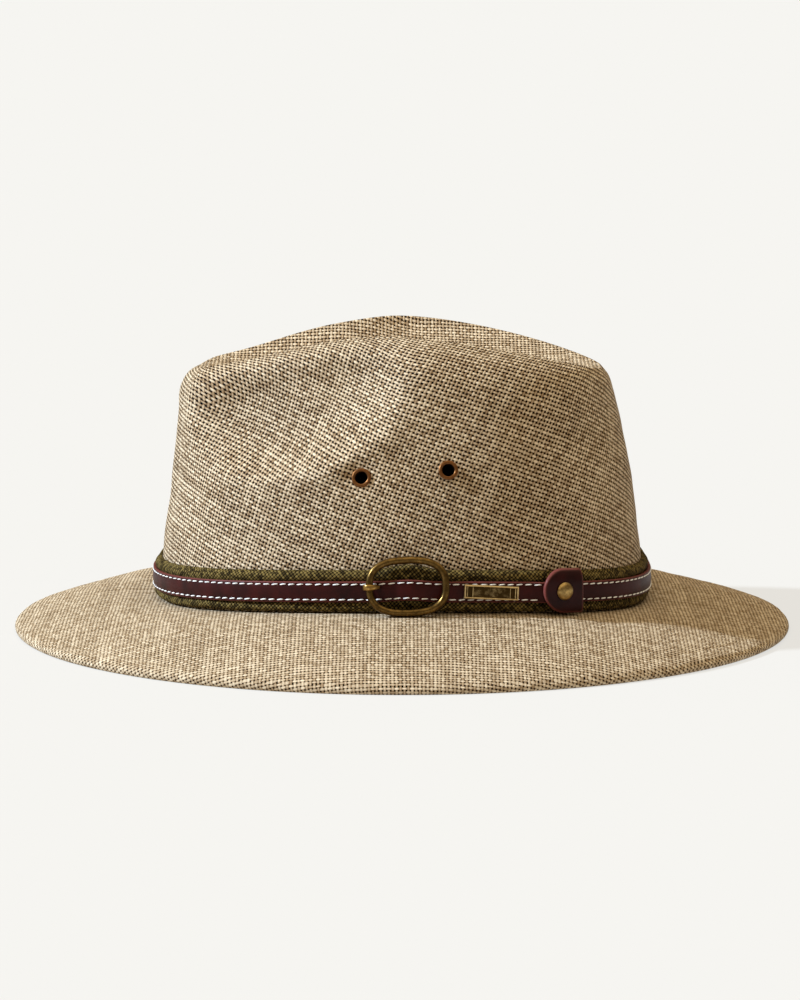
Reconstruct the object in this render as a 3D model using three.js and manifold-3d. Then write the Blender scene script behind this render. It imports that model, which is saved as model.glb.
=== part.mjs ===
// A drover hat in open-woven cloth: a side wall, a creased tip and a brim sewn together, with a padded
// canvas band, a stitched leather strap, an oval buckle, a name plate, a riveted tab and vent eyelets.
// Millimetres. +Z is up, -X is the front of the hat, and -Y is the wearer's left, where the buckle is.
// The origin is on the table under the middle of the brim, which rests on its hem.
import * as THREE from 'three';
import { mergeVertices } from 'three/addons/utils/BufferGeometryUtils.js';
import Module from 'manifold-3d';

// Brim
const BRIM_LENGTH = 330;
const BRIM_WIDTH = 294;
const HEM_WIDTH = 8.5;
const HEM_THICKNESS = 3;
const HEM_ROUND = 0.8;
const FOOT_WIDTH = 2;
const BRIM_CONVEXITY_AT_ENDS = 1.9;
const BRIM_CONVEXITY_AT_SIDES = 1.7;

// Crown
const CLOTH = 1.6;
const HEAD_LENGTH = 204.4;
const HEAD_WIDTH = 168;
const BREAK_AT_ENDS = 13;
const BREAK_AT_SIDES = 20.5;
const RIDGE_FRONT = 86;
const RIDGE_BACK = 84.5;
const RIDGE_WIDTH = 88;
const RIDGE_HEIGHT = 128;
const RIDGE_END_DROP = 17;
const RIDGE_PEAK_FORWARD = 5;
const RIDGE_ARCH = 1.64;
const CREASE_DEPTH = 19;
const CREASE_LENGTH = 104;
const CREASE_WIDTH = 5;
const CREASE_HOLLOW = 1.7;
const FRONT_FULLNESS = 2.05;
const BACK_FULLNESS = 2.3;

// Front dents, one on each side
const DENT_DEPTH = 15.7;
const DENT_PLACE = 118.6;
const DENT_AHEAD = 43;
const DENT_BEHIND = 34;
const DENT_RISE = 0.836;
const DENT_BELOW = 0.35;
const DENT_ABOVE = 0.796;
const DENT_SQUARENESS = 1.82;
const DENT_FLATNESS = 4;
const DENT_SOFTNESS = 2.1;
const DENT_SEAM_FADE = 0.45;

// Band, strap and what is on them
const SEAM_GAP = 0.3;
const BAND_HEIGHT = 17;
const BAND_HEIGHT_AT_BUCKLE = 19.2;
const BAND_LIFT = 0.7;
const BAND_EDGE = 2.7;
const BAND_MIDDLE = 1.8;
const STRAP_WIDTH = 8.4;
const STRAP_THICKNESS = 1.5;
const STRAP_OVERLAP = 13;
const STRAP_RAMP = 8;
const BULGE = 2;
const BULGE_SPREAD = 9;

const BUCKLE_LENGTH = 33.8;
const BUCKLE_HEIGHT = 24.2;
const BUCKLE_WIRE = 3;
const BUCKLE_FULLNESS = 2.6;
const BUCKLE_ALONG = 2.2;
const BUCKLE_TILT = 8;
const BUCKLE_TURN = 1.5;
const PRONG_REACH = 4.2;
const PRONG_WIDTH = 2.4;
const PRONG_THICKNESS = 1.1;
const PRONG_HOLE = 3.4;
const PRONG_DIP = 0.9;

const PLATE_LENGTH = 22;
const PLATE_HEIGHT = 5.8;
const PLATE_THICKNESS = 0.7;
const PLATE_BORDER = 0.8;
const PLATE_BORDER_RISE = 0.4;
const PLATE_SLOT = 1.7;
const PLATE_ALONG = 35.2;
const PLATE_TILT = -2.5;

const TAB_LENGTH = 17.1;
const TAB_HEIGHT = 18;
const TAB_THICKNESS = 1.8;
const TAB_DRAPE = 1.5;
const TAB_ALONG = 62.4;
const TAB_RAISE = 0.9;
const RIVET_HEAD = 7.4;
const RIVET_DOME = 1.7;
const RIVET_SHANK = 2.4;

const EYELET_OUTER = 7.4;
const EYELET_BORE = 5;
const EYELET_LIP = 0.9;
const EYELET_TUBE_WALL = 0.4;
const EYELET_SEAT = 0.5;
// Each pair's place along X, and its share of the way from the brim to the ridge.
const EYELET_SPOTS = [
  { along: -17, rise: 0.503 },
  { along: 19.4, rise: 0.536 },
];

const CUT_REACH = 12;
const SEGMENTS = 64;
const STRAW = new THREE.MeshStandardMaterial({ color: 0xb39f7b, roughness: 0.8, metalness: 0 });
const CANVAS = new THREE.MeshStandardMaterial({ color: 0x55502b, roughness: 0.9, metalness: 0 });
const LEATHER = new THREE.MeshStandardMaterial({ color: 0x3c1a16, roughness: 0.4, metalness: 0 });
const BRASS = new THREE.MeshStandardMaterial({ color: 0x8a6d33, roughness: 0.4, metalness: 1 });
const COPPER = new THREE.MeshStandardMaterial({ color: 0x7d4f2a, roughness: 0.4, metalness: 1 });

// Side wall from the brim (rise 0) to the ridge seam (rise 1). Each column is how far the wall has come
// in, as a share of the way from the head line to the ridge, at the front, the sides and the back.
const WALL_SECTIONS = [
  { rise: 0, front: 0, side: 0, back: 0 },
  { rise: 0.16, front: 0.01, side: 0.01, back: 0.02 },
  { rise: 0.3, front: 0.1, side: 0.07, back: 0.1 },
  { rise: 0.45, front: 0.23, side: 0.16, back: 0.21 },
  { rise: 0.6, front: 0.33, side: 0.275, back: 0.34 },
  { rise: 0.72, front: 0.42, side: 0.39, back: 0.48 },
  { rise: 0.82, front: 0.47, side: 0.51, back: 0.6 },
  { rise: 0.9, front: 0.525, side: 0.645, back: 0.71 },
  { rise: 0.96, front: 0.7, side: 0.8, back: 0.82 },
  { rise: 1, front: 1, side: 1, back: 1 },
];
// Rises at which the side wall is drawn: closer together over the dents and at the ridge.
const WALL_ROWS = [0, 0.16, 0.31, 0.41, 0.49, 0.57, 0.65, 0.73, 0.81, 0.88, 0.93, 0.97, 1];
// Tip rows as shares of the way from the ridge seam in to the crease.
const TIP_ROWS = [0, 0.12, 0.3, 0.52, 0.76, 1];
// Padded band, bottom to top: height as a share of the band's, and whether the face is edge or middle.
const BAND_SECTIONS = [
  { height: -0.5, edge: 0.35 },
  { height: -0.46, edge: 0.85 },
  { height: -0.36, edge: 1 },
  { height: -0.24, middle: 1 },
  { height: 0.24, middle: 1 },
  { height: 0.36, edge: 1 },
  { height: 0.46, edge: 0.85 },
  { height: 0.5, edge: 0.35 },
];

const wasm = await Module();
wasm.setup();

// Geometry helpers

const radians = THREE.MathUtils.degToRad;
const lerp = THREE.MathUtils.lerp;
const power = (value, exponent) => Math.sign(value) * Math.abs(value) ** exponent;
const ringAngles = Array.from({ length: SEGMENTS }, (_, i) => (2 * Math.PI * i) / SEGMENTS);

function meshOf(points, triangles) {
  const geometry = new THREE.BufferGeometry();
  const positions = points.flatMap((p) => [p.x, p.y, p.z]);
  geometry.setAttribute('position', new THREE.Float32BufferAttribute(positions, 3));
  geometry.setIndex(triangles.flat());
  return geometry;
}

function solidOf(geometry) {
  const bare = geometry.clone();
  bare.deleteAttribute('normal');
  bare.deleteAttribute('uv');
  const merged = mergeVertices(bare, 1e-4);
  const vertProperties = merged.attributes.position.array;
  const triVerts = new Uint32Array(merged.index.array);
  return new wasm.Manifold(new wasm.Mesh({ numProp: 3, vertProperties, triVerts }));
}

function geometryOf(solid) {
  const mesh = solid.getMesh();
  const geometry = new THREE.BufferGeometry();
  geometry.setAttribute('position', new THREE.BufferAttribute(mesh.vertProperties, 3));
  geometry.setIndex(new THREE.BufferAttribute(mesh.triVerts, 1));
  return geometry;
}

// Joins rows of points into a grid of triangles. Each row is a closed ring, or an open one.
function gridTriangles(rows, columns, closedRows, closedColumns, flip) {
  const triangles = [];
  const lastRow = closedRows ? rows : rows - 1;
  const lastColumn = closedColumns ? columns : columns - 1;
  for (let r = 0; r < lastRow; r++) {
    for (let c = 0; c < lastColumn; c++) {
      const a = r * columns + c;
      const b = r * columns + ((c + 1) % columns);
      const d = ((r + 1) % rows) * columns + c;
      const e = ((r + 1) % rows) * columns + ((c + 1) % columns);
      triangles.push(...(flip ? [[a, d, b], [b, d, e]] : [[a, b, d], [b, e, d]]));
    }
  }
  return triangles;
}

// A closed ring swept round the hat: sectionAt gives the same count of points, in order, at each angle.
function sweptRing(sectionAt) {
  const sections = ringAngles.map(sectionAt);
  const count = sections[0].length;
  return meshOf(sections.flat(), gridTriangles(sections.length, count, true, true, true));
}

// An open strip through sections, with its two ends capped.
function sweptStrip(sections) {
  const count = sections[0].length;
  const triangles = gridTriangles(sections.length, count, false, true, true);
  const last = (sections.length - 1) * count;
  for (let i = 1; i < count - 1; i++) {
    triangles.push([0, i, i + 1]);
    triangles.push([last, last + i + 1, last + i]);
  }
  return meshOf(sections.flat(), triangles);
}

// A flat outline pushed along the third axis of a local frame, from low to high.
function prism(shape, frame, low, high) {
  const settings = { depth: high - low, bevelEnabled: false, curveSegments: 6 };
  const geometry = new THREE.ExtrudeGeometry(shape, settings);
  geometry.translate(0, 0, low);
  return geometry.applyMatrix4(frame);
}

function rectangle(length, height, middle = 0) {
  return new THREE.Shape([
    new THREE.Vector2(middle - length / 2, -height / 2),
    new THREE.Vector2(middle + length / 2, -height / 2),
    new THREE.Vector2(middle + length / 2, height / 2),
    new THREE.Vector2(middle - length / 2, height / 2),
  ]);
}

// A lathed solid whose axis is the third axis of a local frame.
function turned(profile, frame, segments) {
  const points = profile.map(([radius, height]) => new THREE.Vector2(radius, height));
  const geometry = new THREE.LatheGeometry(points, segments);
  geometry.rotateX(Math.PI / 2);
  return geometry.applyMatrix4(frame);
}

// The hat's own lines

// Plan of an oval with its own front and back reach, fuller at the back.
function oval(phi, front, back, side) {
  const c = Math.cos(phi);
  const s = Math.sin(phi);
  const fullness = c < 0 ? FRONT_FULLNESS : BACK_FULLNESS;
  const reach = c < 0 ? front : back;
  return new THREE.Vector3(reach * power(c, 2 / fullness), side * power(s, 2 / fullness), 0);
}

const headLine = (phi, inset = 0) =>
  oval(phi, HEAD_LENGTH / 2 - inset, HEAD_LENGTH / 2 - inset, HEAD_WIDTH / 2 - inset);

// Height of the line where the brim breaks away from the crown: low at front and back, high at the sides.
const breakHeight = (phi) => lerp(BREAK_AT_SIDES, BREAK_AT_ENDS, Math.cos(phi) ** 2);

function planNormal(phi) {
  const ahead = headLine(phi + 0.01);
  const behind = headLine(phi - 0.01);
  return new THREE.Vector3(ahead.y - behind.y, behind.x - ahead.x, 0).normalize();
}

// Both front dents: a flat-bottomed bowl that runs out over the ridge above it, with a steep shelf
// below and behind.
function dentDepth(phi, rise) {
  const fromBack = THREE.MathUtils.radToDeg(Math.acos(Math.cos(phi)));
  const ahead = fromBack - DENT_PLACE;
  const across = ahead > 0 ? ahead / DENT_AHEAD : -ahead / DENT_BEHIND;
  const up = (rise - DENT_RISE) / (rise < DENT_RISE ? -DENT_BELOW : DENT_ABOVE);
  const reach = across ** DENT_SQUARENESS + up ** DENT_SQUARENESS;
  if (reach >= 1) return 0;
  const inside = 1 - reach ** (DENT_FLATNESS / DENT_SQUARENESS);
  const seamFade = 1 - DENT_SEAM_FADE * THREE.MathUtils.smoothstep(rise, DENT_RISE, 1);
  return DENT_DEPTH * inside ** DENT_SOFTNESS * seamFade;
}

// Smooth curve through one column of the wall table.
function wallColumn(column, rise) {
  const rows = WALL_SECTIONS;
  const above = rows.findIndex((row) => row.rise >= rise);
  const i = THREE.MathUtils.clamp(above, 1, rows.length - 1);
  const slopeAt = (k) => {
    const [before, after] = [rows[Math.max(k - 1, 0)], rows[Math.min(k + 1, rows.length - 1)]];
    return (after[column] - before[column]) / (after.rise - before.rise);
  };
  const span = rows[i].rise - rows[i - 1].rise;
  const t = (rise - rows[i - 1].rise) / span;
  const straight = lerp(rows[i - 1][column], rows[i][column], t);
  const chord = (rows[i][column] - rows[i - 1][column]) / span;
  const bend = (slopeAt(i - 1) - chord) * (1 - t) - (slopeAt(i) - chord) * t;
  return straight + span * t * (1 - t) * bend;
}

function insetShare(phi, rise) {
  const endShare = wallColumn(Math.cos(phi) < 0 ? 'front' : 'back', rise);
  return lerp(wallColumn('side', rise), endShare, Math.cos(phi) ** 2);
}

function ridgeHeight(x) {
  const fromPeak = x + RIDGE_PEAK_FORWARD;
  const reach = fromPeak < 0 ? RIDGE_FRONT - RIDGE_PEAK_FORWARD : RIDGE_BACK + RIDGE_PEAK_FORWARD;
  return RIDGE_HEIGHT - RIDGE_END_DROP * Math.abs(fromPeak / reach) ** RIDGE_ARCH;
}

const ridgePlan = (phi) => oval(phi, RIDGE_FRONT, RIDGE_BACK, RIDGE_WIDTH / 2);

// Outer face of the side wall.
function wallPoint(phi, rise) {
  const ridge = ridgePlan(phi);
  const point = headLine(phi).lerp(ridge, insetShare(phi, rise));
  point.addScaledVector(planNormal(phi), -dentDepth(phi, rise));
  const foot = breakHeight(phi) + SEAM_GAP;
  point.z = lerp(foot, ridgeHeight(ridge.x), rise);
  return point;
}

// Outer face of the tip, from the ridge seam (share 0) in and down to the crease (share 1).
function tipPoint(phi, share) {
  const seam = wallPoint(phi, 1);
  const crease = new THREE.Vector3(
    (CREASE_LENGTH / 2) * Math.cos(phi),
    (CREASE_WIDTH / 2) * Math.sin(phi),
    RIDGE_HEIGHT - CREASE_DEPTH,
  );
  const point = seam.clone().lerp(crease, share);
  point.z = lerp(crease.z, seam.z, (1 - share) ** CREASE_HOLLOW);
  return point;
}

// A point beside the wall at a height, moved out by a distance: what the band and the strap lie on.
function besideWall(phi, height, out) {
  const foot = breakHeight(phi) + SEAM_GAP;
  const top = ridgeHeight(ridgePlan(phi).x);
  const point = wallPoint(phi, (height - foot) / (top - foot));
  return point.addScaledVector(planNormal(phi), out);
}

// The angle at which the head line stands a distance along X on the wearer's left.
function angleAt(along) {
  let low = -Math.PI;
  let high = 0;
  for (let step = 0; step < 50; step++) {
    const middle = (low + high) / 2;
    if (headLine(middle).x < along) low = middle;
    else high = middle;
  }
  return (low + high) / 2;
}

// Band and strap come up through the buckle: they swell there, and the band is drawn up taller.
const buckleAngle = angleAt(BUCKLE_ALONG);
function nearBuckle(phi) {
  const away = headLine(phi).distanceTo(headLine(buckleAngle));
  return Math.exp(-((away / BULGE_SPREAD) ** 2));
}
const bulge = (phi) => BULGE * nearBuckle(phi);
const bandHeight = (phi) => lerp(BAND_HEIGHT, BAND_HEIGHT_AT_BUCKLE, nearBuckle(phi));
const bandCentre = (phi) => breakHeight(phi) + BAND_LIFT + bandHeight(phi) / 2;

// Local frame on the wearer's left: X along the strap to the back, Y up, Z out of the crown.
function localFrame(phi, height, out) {
  const origin = besideWall(phi, height, out);
  const along = besideWall(phi + 0.02, height, out).sub(besideWall(phi - 0.02, height, out)).normalize();
  const up = besideWall(phi, height + 3, out).sub(besideWall(phi, height - 3, out)).normalize();
  const outward = new THREE.Vector3().crossVectors(along, up).normalize();
  up.crossVectors(outward, along);
  return new THREE.Matrix4().makeBasis(along, up, outward).setPosition(origin);
}

// Crown: side wall and tip

// Rows of the whole crown's outer face, with normals shared across the seam.
const wallRows = WALL_ROWS.map((rise) => ringAngles.map((phi) => wallPoint(phi, rise)));
const tipRows = TIP_ROWS.map((share) => ringAngles.map((phi) => tipPoint(phi, share)));
const crownRows = [...wallRows, ...tipRows.slice(1)];
const crownNormals = crownRows.map((row, r) =>
  row.map((point, c) => {
    const nextRow = crownRows[Math.min(r + 1, crownRows.length - 1)][c];
    const lastRow = crownRows[Math.max(r - 1, 0)][c];
    const unitUp = nextRow.clone().sub(point).normalize().add(point.clone().sub(lastRow).normalize());
    const next = row[(c + 1) % SEGMENTS];
    const last = row[(c + SEGMENTS - 1) % SEGMENTS];
    return next.clone().sub(last).cross(unitUp).normalize();
  }),
);

const inside = (rows, normals, depth) =>
  rows.map((row, r) => row.map((point, c) => point.clone().addScaledVector(normals[r][c], -depth)));

// Draws one edge row back from its neighbour, to leave the gap of the seam.
function drawnBack(rows, edge, neighbour) {
  return rows.map((row, r) => {
    if (r !== edge) return row;
    return row.map((point, c) => {
      const away = rows[neighbour][c].clone().sub(point).normalize();
      return point.clone().addScaledVector(away, SEAM_GAP / 2);
    });
  });
}

function crownSide() {
  const normals = crownNormals.slice(0, wallRows.length);
  const outer = drawnBack(wallRows, wallRows.length - 1, wallRows.length - 2);
  const inner = inside(outer, normals, CLOTH);
  // The foot stands level on the brim.
  inner[0].forEach((point, c) => (point.z = outer[0][c].z));
  const loop = [...outer, ...inner.reverse()];
  return solidOf(meshOf(loop.flat(), gridTriangles(loop.length, SEGMENTS, true, true, false)));
}

function crownTip() {
  const normals = crownNormals.slice(wallRows.length - 1);
  const outer = drawnBack(tipRows, 0, 1);
  const inner = inside(outer, normals, CLOTH);
  const rows = [...inner.reverse(), ...outer];
  const triangles = gridTriangles(rows.length, SEGMENTS, false, true, false);
  // Each side of the crease is closed by a narrow strip across it.
  const strip = (start, up) => {
    for (let i = 0; i < SEGMENTS / 2; i++) {
      const [a, b] = [start + i, start + i + 1];
      const [c, d] = [start + ((SEGMENTS - i) % SEGMENTS), start + ((SEGMENTS - i - 1) % SEGMENTS)];
      const halves = [[a, b, d], [a, d, c]].filter((t) => new Set(t).size === 3);
      triangles.push(...(up ? halves : halves.map(([p, q, r]) => [p, r, q])));
    }
  };
  strip((rows.length - 1) * SEGMENTS, true);
  strip(0, false);
  return solidOf(meshOf(rows.flat(), triangles));
}

// Brim

const brimOutline = (phi, inset = 0) =>
  new THREE.Vector3((BRIM_LENGTH / 2 - inset) * Math.cos(phi), (BRIM_WIDTH / 2 - inset) * Math.sin(phi), 0);

// Top face of the brim: level under the wall, then falling to the hem.
function brimTop(phi, share) {
  const wallFoot = headLine(phi);
  const point = wallFoot.clone().lerp(brimOutline(phi), share);
  const convexity = lerp(BRIM_CONVEXITY_AT_SIDES, BRIM_CONVEXITY_AT_ENDS, Math.cos(phi) ** 2);
  point.z = lerp(breakHeight(phi), HEM_THICKNESS, share ** convexity);
  return point;
}

const brimSpan = (phi) => brimOutline(phi).distanceTo(headLine(phi));

function brimSection(phi) {
  const span = brimSpan(phi);
  const shareInside = (distance) => 1 - distance / span;
  const raised = (point, amount) => point.clone().add(new THREE.Vector3(0, 0, amount));
  const innerTop = headLine(phi, CLOTH).setZ(breakHeight(phi));
  const stations = [0, 0.3, 0.6].map((share) => brimTop(phi, share * shareInside(HEM_WIDTH)));
  const hemLine = brimTop(phi, shareInside(HEM_WIDTH));
  const edgeTop = brimTop(phi, shareInside(HEM_ROUND));
  const edge = brimOutline(phi).setZ(HEM_THICKNESS / 2);
  const footOuter = brimOutline(phi, HEM_ROUND);
  const footInner = brimOutline(phi, HEM_ROUND + FOOT_WIDTH);
  const besideHem = brimTop(phi, shareInside(HEM_WIDTH + 0.5));
  const below = [raised(hemLine, -HEM_THICKNESS), raised(besideHem, -CLOTH)];
  const under = stations.map((point) => raised(point, -CLOTH)).reverse();
  const top = [innerTop, ...stations, hemLine, edgeTop, edge];
  return [...top, footOuter, footInner, ...below, ...under, raised(innerTop, -CLOTH)].reverse();
}

const brim = () => solidOf(sweptRing(brimSection));

// Band and strap

function bandSection(phi) {
  const centre = bandCentre(phi);
  const full = bandHeight(phi);
  const swell = bulge(phi);
  const face = BAND_SECTIONS.map(({ height, edge = 0, middle = 0 }) => {
    const thickness = edge * BAND_EDGE + middle * (BAND_MIDDLE + swell);
    return besideWall(phi, centre + height * full, SEAM_GAP + thickness);
  });
  const back = [0.5, -0.5].map((height) => besideWall(phi, centre + height * full, SEAM_GAP));
  return [...face, ...back];
}

const strapBed = (phi) => 2 * SEAM_GAP + BAND_MIDDLE + bulge(phi);
const tabAngle = angleAt(TAB_ALONG);
const headSpeed = (phi) => headLine(phi + 0.01).distanceTo(headLine(phi - 0.01)) / 0.02;
const overlapAngle = STRAP_OVERLAP / headSpeed(tabAngle);
const rampAngle = STRAP_RAMP / headSpeed(tabAngle);

// The strap's far end climbs over its near end under the tab.
const strapStart = tabAngle - overlapAngle / 2;
const lapStart = strapStart + 2 * Math.PI;
const strapEnd = lapStart + overlapAngle;
const strapLift = (phi) =>
  THREE.MathUtils.smoothstep(phi, lapStart - rampAngle, lapStart) * (STRAP_THICKNESS + SEAM_GAP);

// It bends where the band bends, and also along the climb.
function strapSections() {
  const turns = [strapStart, strapEnd, lapStart];
  for (let i = 0; i < 4; i++) turns.push(lapStart - (rampAngle * (i + 0.5)) / 4);
  for (const phi of ringAngles) turns.push(phi - 2 * Math.PI, phi, phi + 2 * Math.PI);
  const inOrder = turns.filter((phi) => phi >= strapStart && phi <= strapEnd).sort((a, b) => a - b);
  return inOrder.map((phi) => {
    const low = strapBed(phi) + strapLift(phi);
    const high = low + STRAP_THICKNESS;
    const half = STRAP_WIDTH / 2;
    const corners = [[-half, low], [-half, high], [half, high], [half, low]];
    return corners.map(([height, out]) => besideWall(phi, bandCentre(phi) + height, out));
  });
}

// A slab bent round the crown between two heights, with its own inner and outer distance at each height.
function wrappedSlab(middleAngle, halfLength, heights, innerAt, outerAt) {
  const reach = halfLength / headSpeed(middleAngle);
  const sections = [];
  for (let i = 0; i <= 8; i++) {
    const phi = middleAngle + reach * (i / 4 - 1);
    const at = (height, out) => besideWall(phi, bandCentre(phi) + height, out);
    const face = heights.map((height) => at(height, outerAt(height, phi)));
    const back = [...heights].reverse().map((height) => at(height, innerAt(height, phi)));
    sections.push([...face, ...back]);
  }
  return solidOf(sweptStrip(sections));
}

// Buckle and prong

const wireRadius = BUCKLE_WIRE / 2;
const buckleBars = BUCKLE_LENGTH / 2 - wireRadius;

// The frame lies on the strap with its two bars, leans in at the top and rests on the brim below.
const strapFace = (phi) => strapBed(phi) + STRAP_THICKNESS;
const buckleFlat = localFrame(buckleAngle, bandCentre(buckleAngle), 0);
function depthInFrame(frame, phi, height, out) {
  return besideWall(phi, height, out).applyMatrix4(frame.clone().invert()).z;
}
const barAngles = [-1, 1].map((side) => angleAt(BUCKLE_ALONG + side * buckleBars));
const strapAtBars = Math.max(
  ...barAngles.map((phi) => depthInFrame(buckleFlat, phi, bandCentre(phi), strapFace(phi))),
);
const lean = radians(BUCKLE_TILT);
const buckleDepth = strapAtBars + SEAM_GAP + wireRadius + (Math.sin(lean) * STRAP_WIDTH) / 2;
const buckleFootOut = buckleDepth + (Math.sin(lean) * BUCKLE_HEIGHT) / 2;
const brimBelow = brimTop(buckleAngle, buckleFootOut / brimSpan(buckleAngle)).z;
const buckleMiddle = brimBelow + SEAM_GAP + (Math.cos(lean) * BUCKLE_HEIGHT) / 2;
const buckleRaise = buckleMiddle - bandCentre(buckleAngle);
const buckleFrame = buckleFlat
  .clone()
  .multiply(new THREE.Matrix4().makeTranslation(0, buckleRaise, buckleDepth))
  .multiply(new THREE.Matrix4().makeRotationX(-lean))
  .multiply(new THREE.Matrix4().makeRotationZ(radians(BUCKLE_TURN)));

function buckle() {
  const turns = 32;
  const sides = 8;
  const sections = [];
  const line = (angle) =>
    new THREE.Vector3(
      buckleBars * power(Math.cos(angle), 2 / BUCKLE_FULLNESS),
      (BUCKLE_HEIGHT / 2 - wireRadius) * power(Math.sin(angle), 2 / BUCKLE_FULLNESS),
      0,
    );
  for (let i = 0; i < turns; i++) {
    const angle = (2 * Math.PI * (i + 0.5)) / turns;
    const along = line(angle + 0.02).sub(line(angle - 0.02)).normalize();
    const outward = new THREE.Vector3(along.y, -along.x, 0);
    const section = [];
    for (let k = 0; k < sides; k++) {
      const around = (2 * Math.PI * (k + 0.5)) / sides;
      const point = line(angle).addScaledVector(outward, wireRadius * Math.cos(around));
      point.z = wireRadius * Math.sin(around);
      section.push(point.applyMatrix4(buckleFrame));
    }
    sections.push(section);
  }
  return meshOf(sections.flat(), gridTriangles(turns, sides, true, true, true));
}

// The prong hooks over the front bar and dips its tip into a hole in the strap.
const prongHole = {
  length: PRONG_HOLE,
  width: PRONG_WIDTH + 2 * SEAM_GAP,
  middle: PRONG_REACH - buckleBars - PRONG_THICKNESS,
};
function prong() {
  const bore = wireRadius + SEAM_GAP;
  const rim = bore + PRONG_THICKNESS;
  const hook = new THREE.Shape();
  const tipX = PRONG_REACH;
  hook.absarc(0, 0, rim, radians(200), radians(50), true);
  hook.lineTo(tipX - PRONG_THICKNESS, bore / 2);
  hook.lineTo(tipX, -bore);
  hook.lineTo(tipX, -bore - PRONG_DIP);
  hook.lineTo(tipX - PRONG_THICKNESS, -bore - PRONG_DIP);
  hook.lineTo(tipX - 1.8 * PRONG_THICKNESS, -bore / 2);
  hook.absarc(0, 0, bore, radians(0), radians(200), false);
  const upright = new THREE.Matrix4().makeRotationX(Math.PI / 2);
  const atBar = new THREE.Matrix4().makeTranslation(-buckleBars, 0, 0);
  const frame = buckleFrame.clone().multiply(atBar).multiply(upright);
  return prism(hook, frame, -PRONG_WIDTH / 2, PRONG_WIDTH / 2);
}

// Name plate: a bare bent plate with a raised border and a slot at each end

const plateAngle = angleAt(PLATE_ALONG);
const plateFrame = localFrame(plateAngle, bandCentre(plateAngle), strapFace(plateAngle)).multiply(
  new THREE.Matrix4().makeRotationZ(radians(PLATE_TILT)),
);

function namePlate() {
  const low = (height, phi) => strapFace(phi) + SEAM_GAP;
  const cut = (shape) => solidOf(prism(shape, plateFrame, -CUT_REACH / 2, CUT_REACH / 2));
  const slab = (thickness) => {
    const high = (height, phi) => low(height, phi) + thickness;
    return wrappedSlab(plateAngle, PLATE_LENGTH, [-PLATE_HEIGHT, PLATE_HEIGHT], low, high);
  };
  const outline = cut(rectangle(PLATE_LENGTH, PLATE_HEIGHT));
  const panel = cut(rectangle(PLATE_LENGTH - 2 * PLATE_BORDER, PLATE_HEIGHT - 2 * PLATE_BORDER));
  const border = slab(PLATE_THICKNESS + PLATE_BORDER_RISE).intersect(outline.subtract(panel));
  let plate = slab(PLATE_THICKNESS).intersect(outline).add(border);
  for (const side of [-1, 1]) {
    const middle = side * (PLATE_LENGTH / 2 - 2 * PLATE_BORDER - PLATE_SLOT / 2);
    plate = plate.subtract(cut(rectangle(PLATE_SLOT, PLATE_HEIGHT - 2 * PLATE_BORDER, middle)));
  }
  return plate;
}

// Leather tab, with a round front end and a straight back end, and its rivet

const tabBed = (phi) => strapFace(phi) + STRAP_THICKNESS + 2 * SEAM_GAP;
const tabCentre = bandCentre(tabAngle) + TAB_RAISE;
const tabFrame = localFrame(tabAngle, tabCentre, tabBed(tabAngle));
const shankHole = () => {
  const radius = RIVET_SHANK / 2 + SEAM_GAP;
  const [low, high] = [-CUT_REACH, CUT_REACH];
  return solidOf(turned([[0, low], [radius, low], [radius, high], [0, high]], tabFrame, 16));
};

function tab() {
  const half = TAB_HEIGHT / 2;
  const outline = new THREE.Shape();
  outline.moveTo(TAB_LENGTH / 2, -half);
  outline.lineTo(TAB_LENGTH / 2, half);
  outline.absarc(half - TAB_LENGTH / 2, 0, half, radians(90), radians(270), false);
  const flat = STRAP_WIDTH / 2;
  const beyondStrap = (height) => Math.max(0, Math.abs(height) - flat) / (half + TAB_RAISE - flat);
  const drape = (height) => TAB_DRAPE * beyondStrap(height) ** 2;
  const low = (height, phi) => tabBed(phi) - drape(height);
  const high = (height, phi) => low(height, phi) + TAB_THICKNESS;
  const heights = [-1.15, -0.78, -0.52, 0.52, 0.78, 1.15].map((share) => share * half + TAB_RAISE);
  const slab = wrappedSlab(tabAngle, TAB_LENGTH, heights, low, high);
  return slab.intersect(solidOf(prism(outline, tabFrame, -CUT_REACH, CUT_REACH))).subtract(shankHole());
}

function rivet() {
  const seat = TAB_THICKNESS + SEAM_GAP;
  const foot = -STRAP_THICKNESS - SEAM_GAP;
  const rim = RIVET_HEAD / 2;
  const profile = [[0, foot], [RIVET_SHANK / 2, foot], [RIVET_SHANK / 2, seat], [rim - 0.2, seat]];
  for (let i = 0; i < 4; i++) {
    const angle = (Math.PI / 2) * (i / 4);
    profile.push([rim * Math.cos(angle), seat + 0.4 + (RIVET_DOME - 0.4) * Math.sin(angle)]);
  }
  profile.push([0, seat + RIVET_DOME]);
  return turned(profile, tabFrame, 20);
}

// Eyelets, a pair on each side of the crown

function eyeletFrame({ along, rise }, mirrored) {
  const phi = angleAt(along);
  const frame = localFrame(phi, wallPoint(phi, rise).z, 0);
  if (!mirrored) return frame;
  const [right, up, out] = [new THREE.Vector3(), new THREE.Vector3(), new THREE.Vector3()];
  frame.extractBasis(right, up, out);
  [right, up, out].forEach((axis) => (axis.y *= -1));
  const origin = new THREE.Vector3().setFromMatrixPosition(frame);
  origin.y *= -1;
  return new THREE.Matrix4().makeBasis(right.negate(), up, out).setPosition(origin);
}

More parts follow.
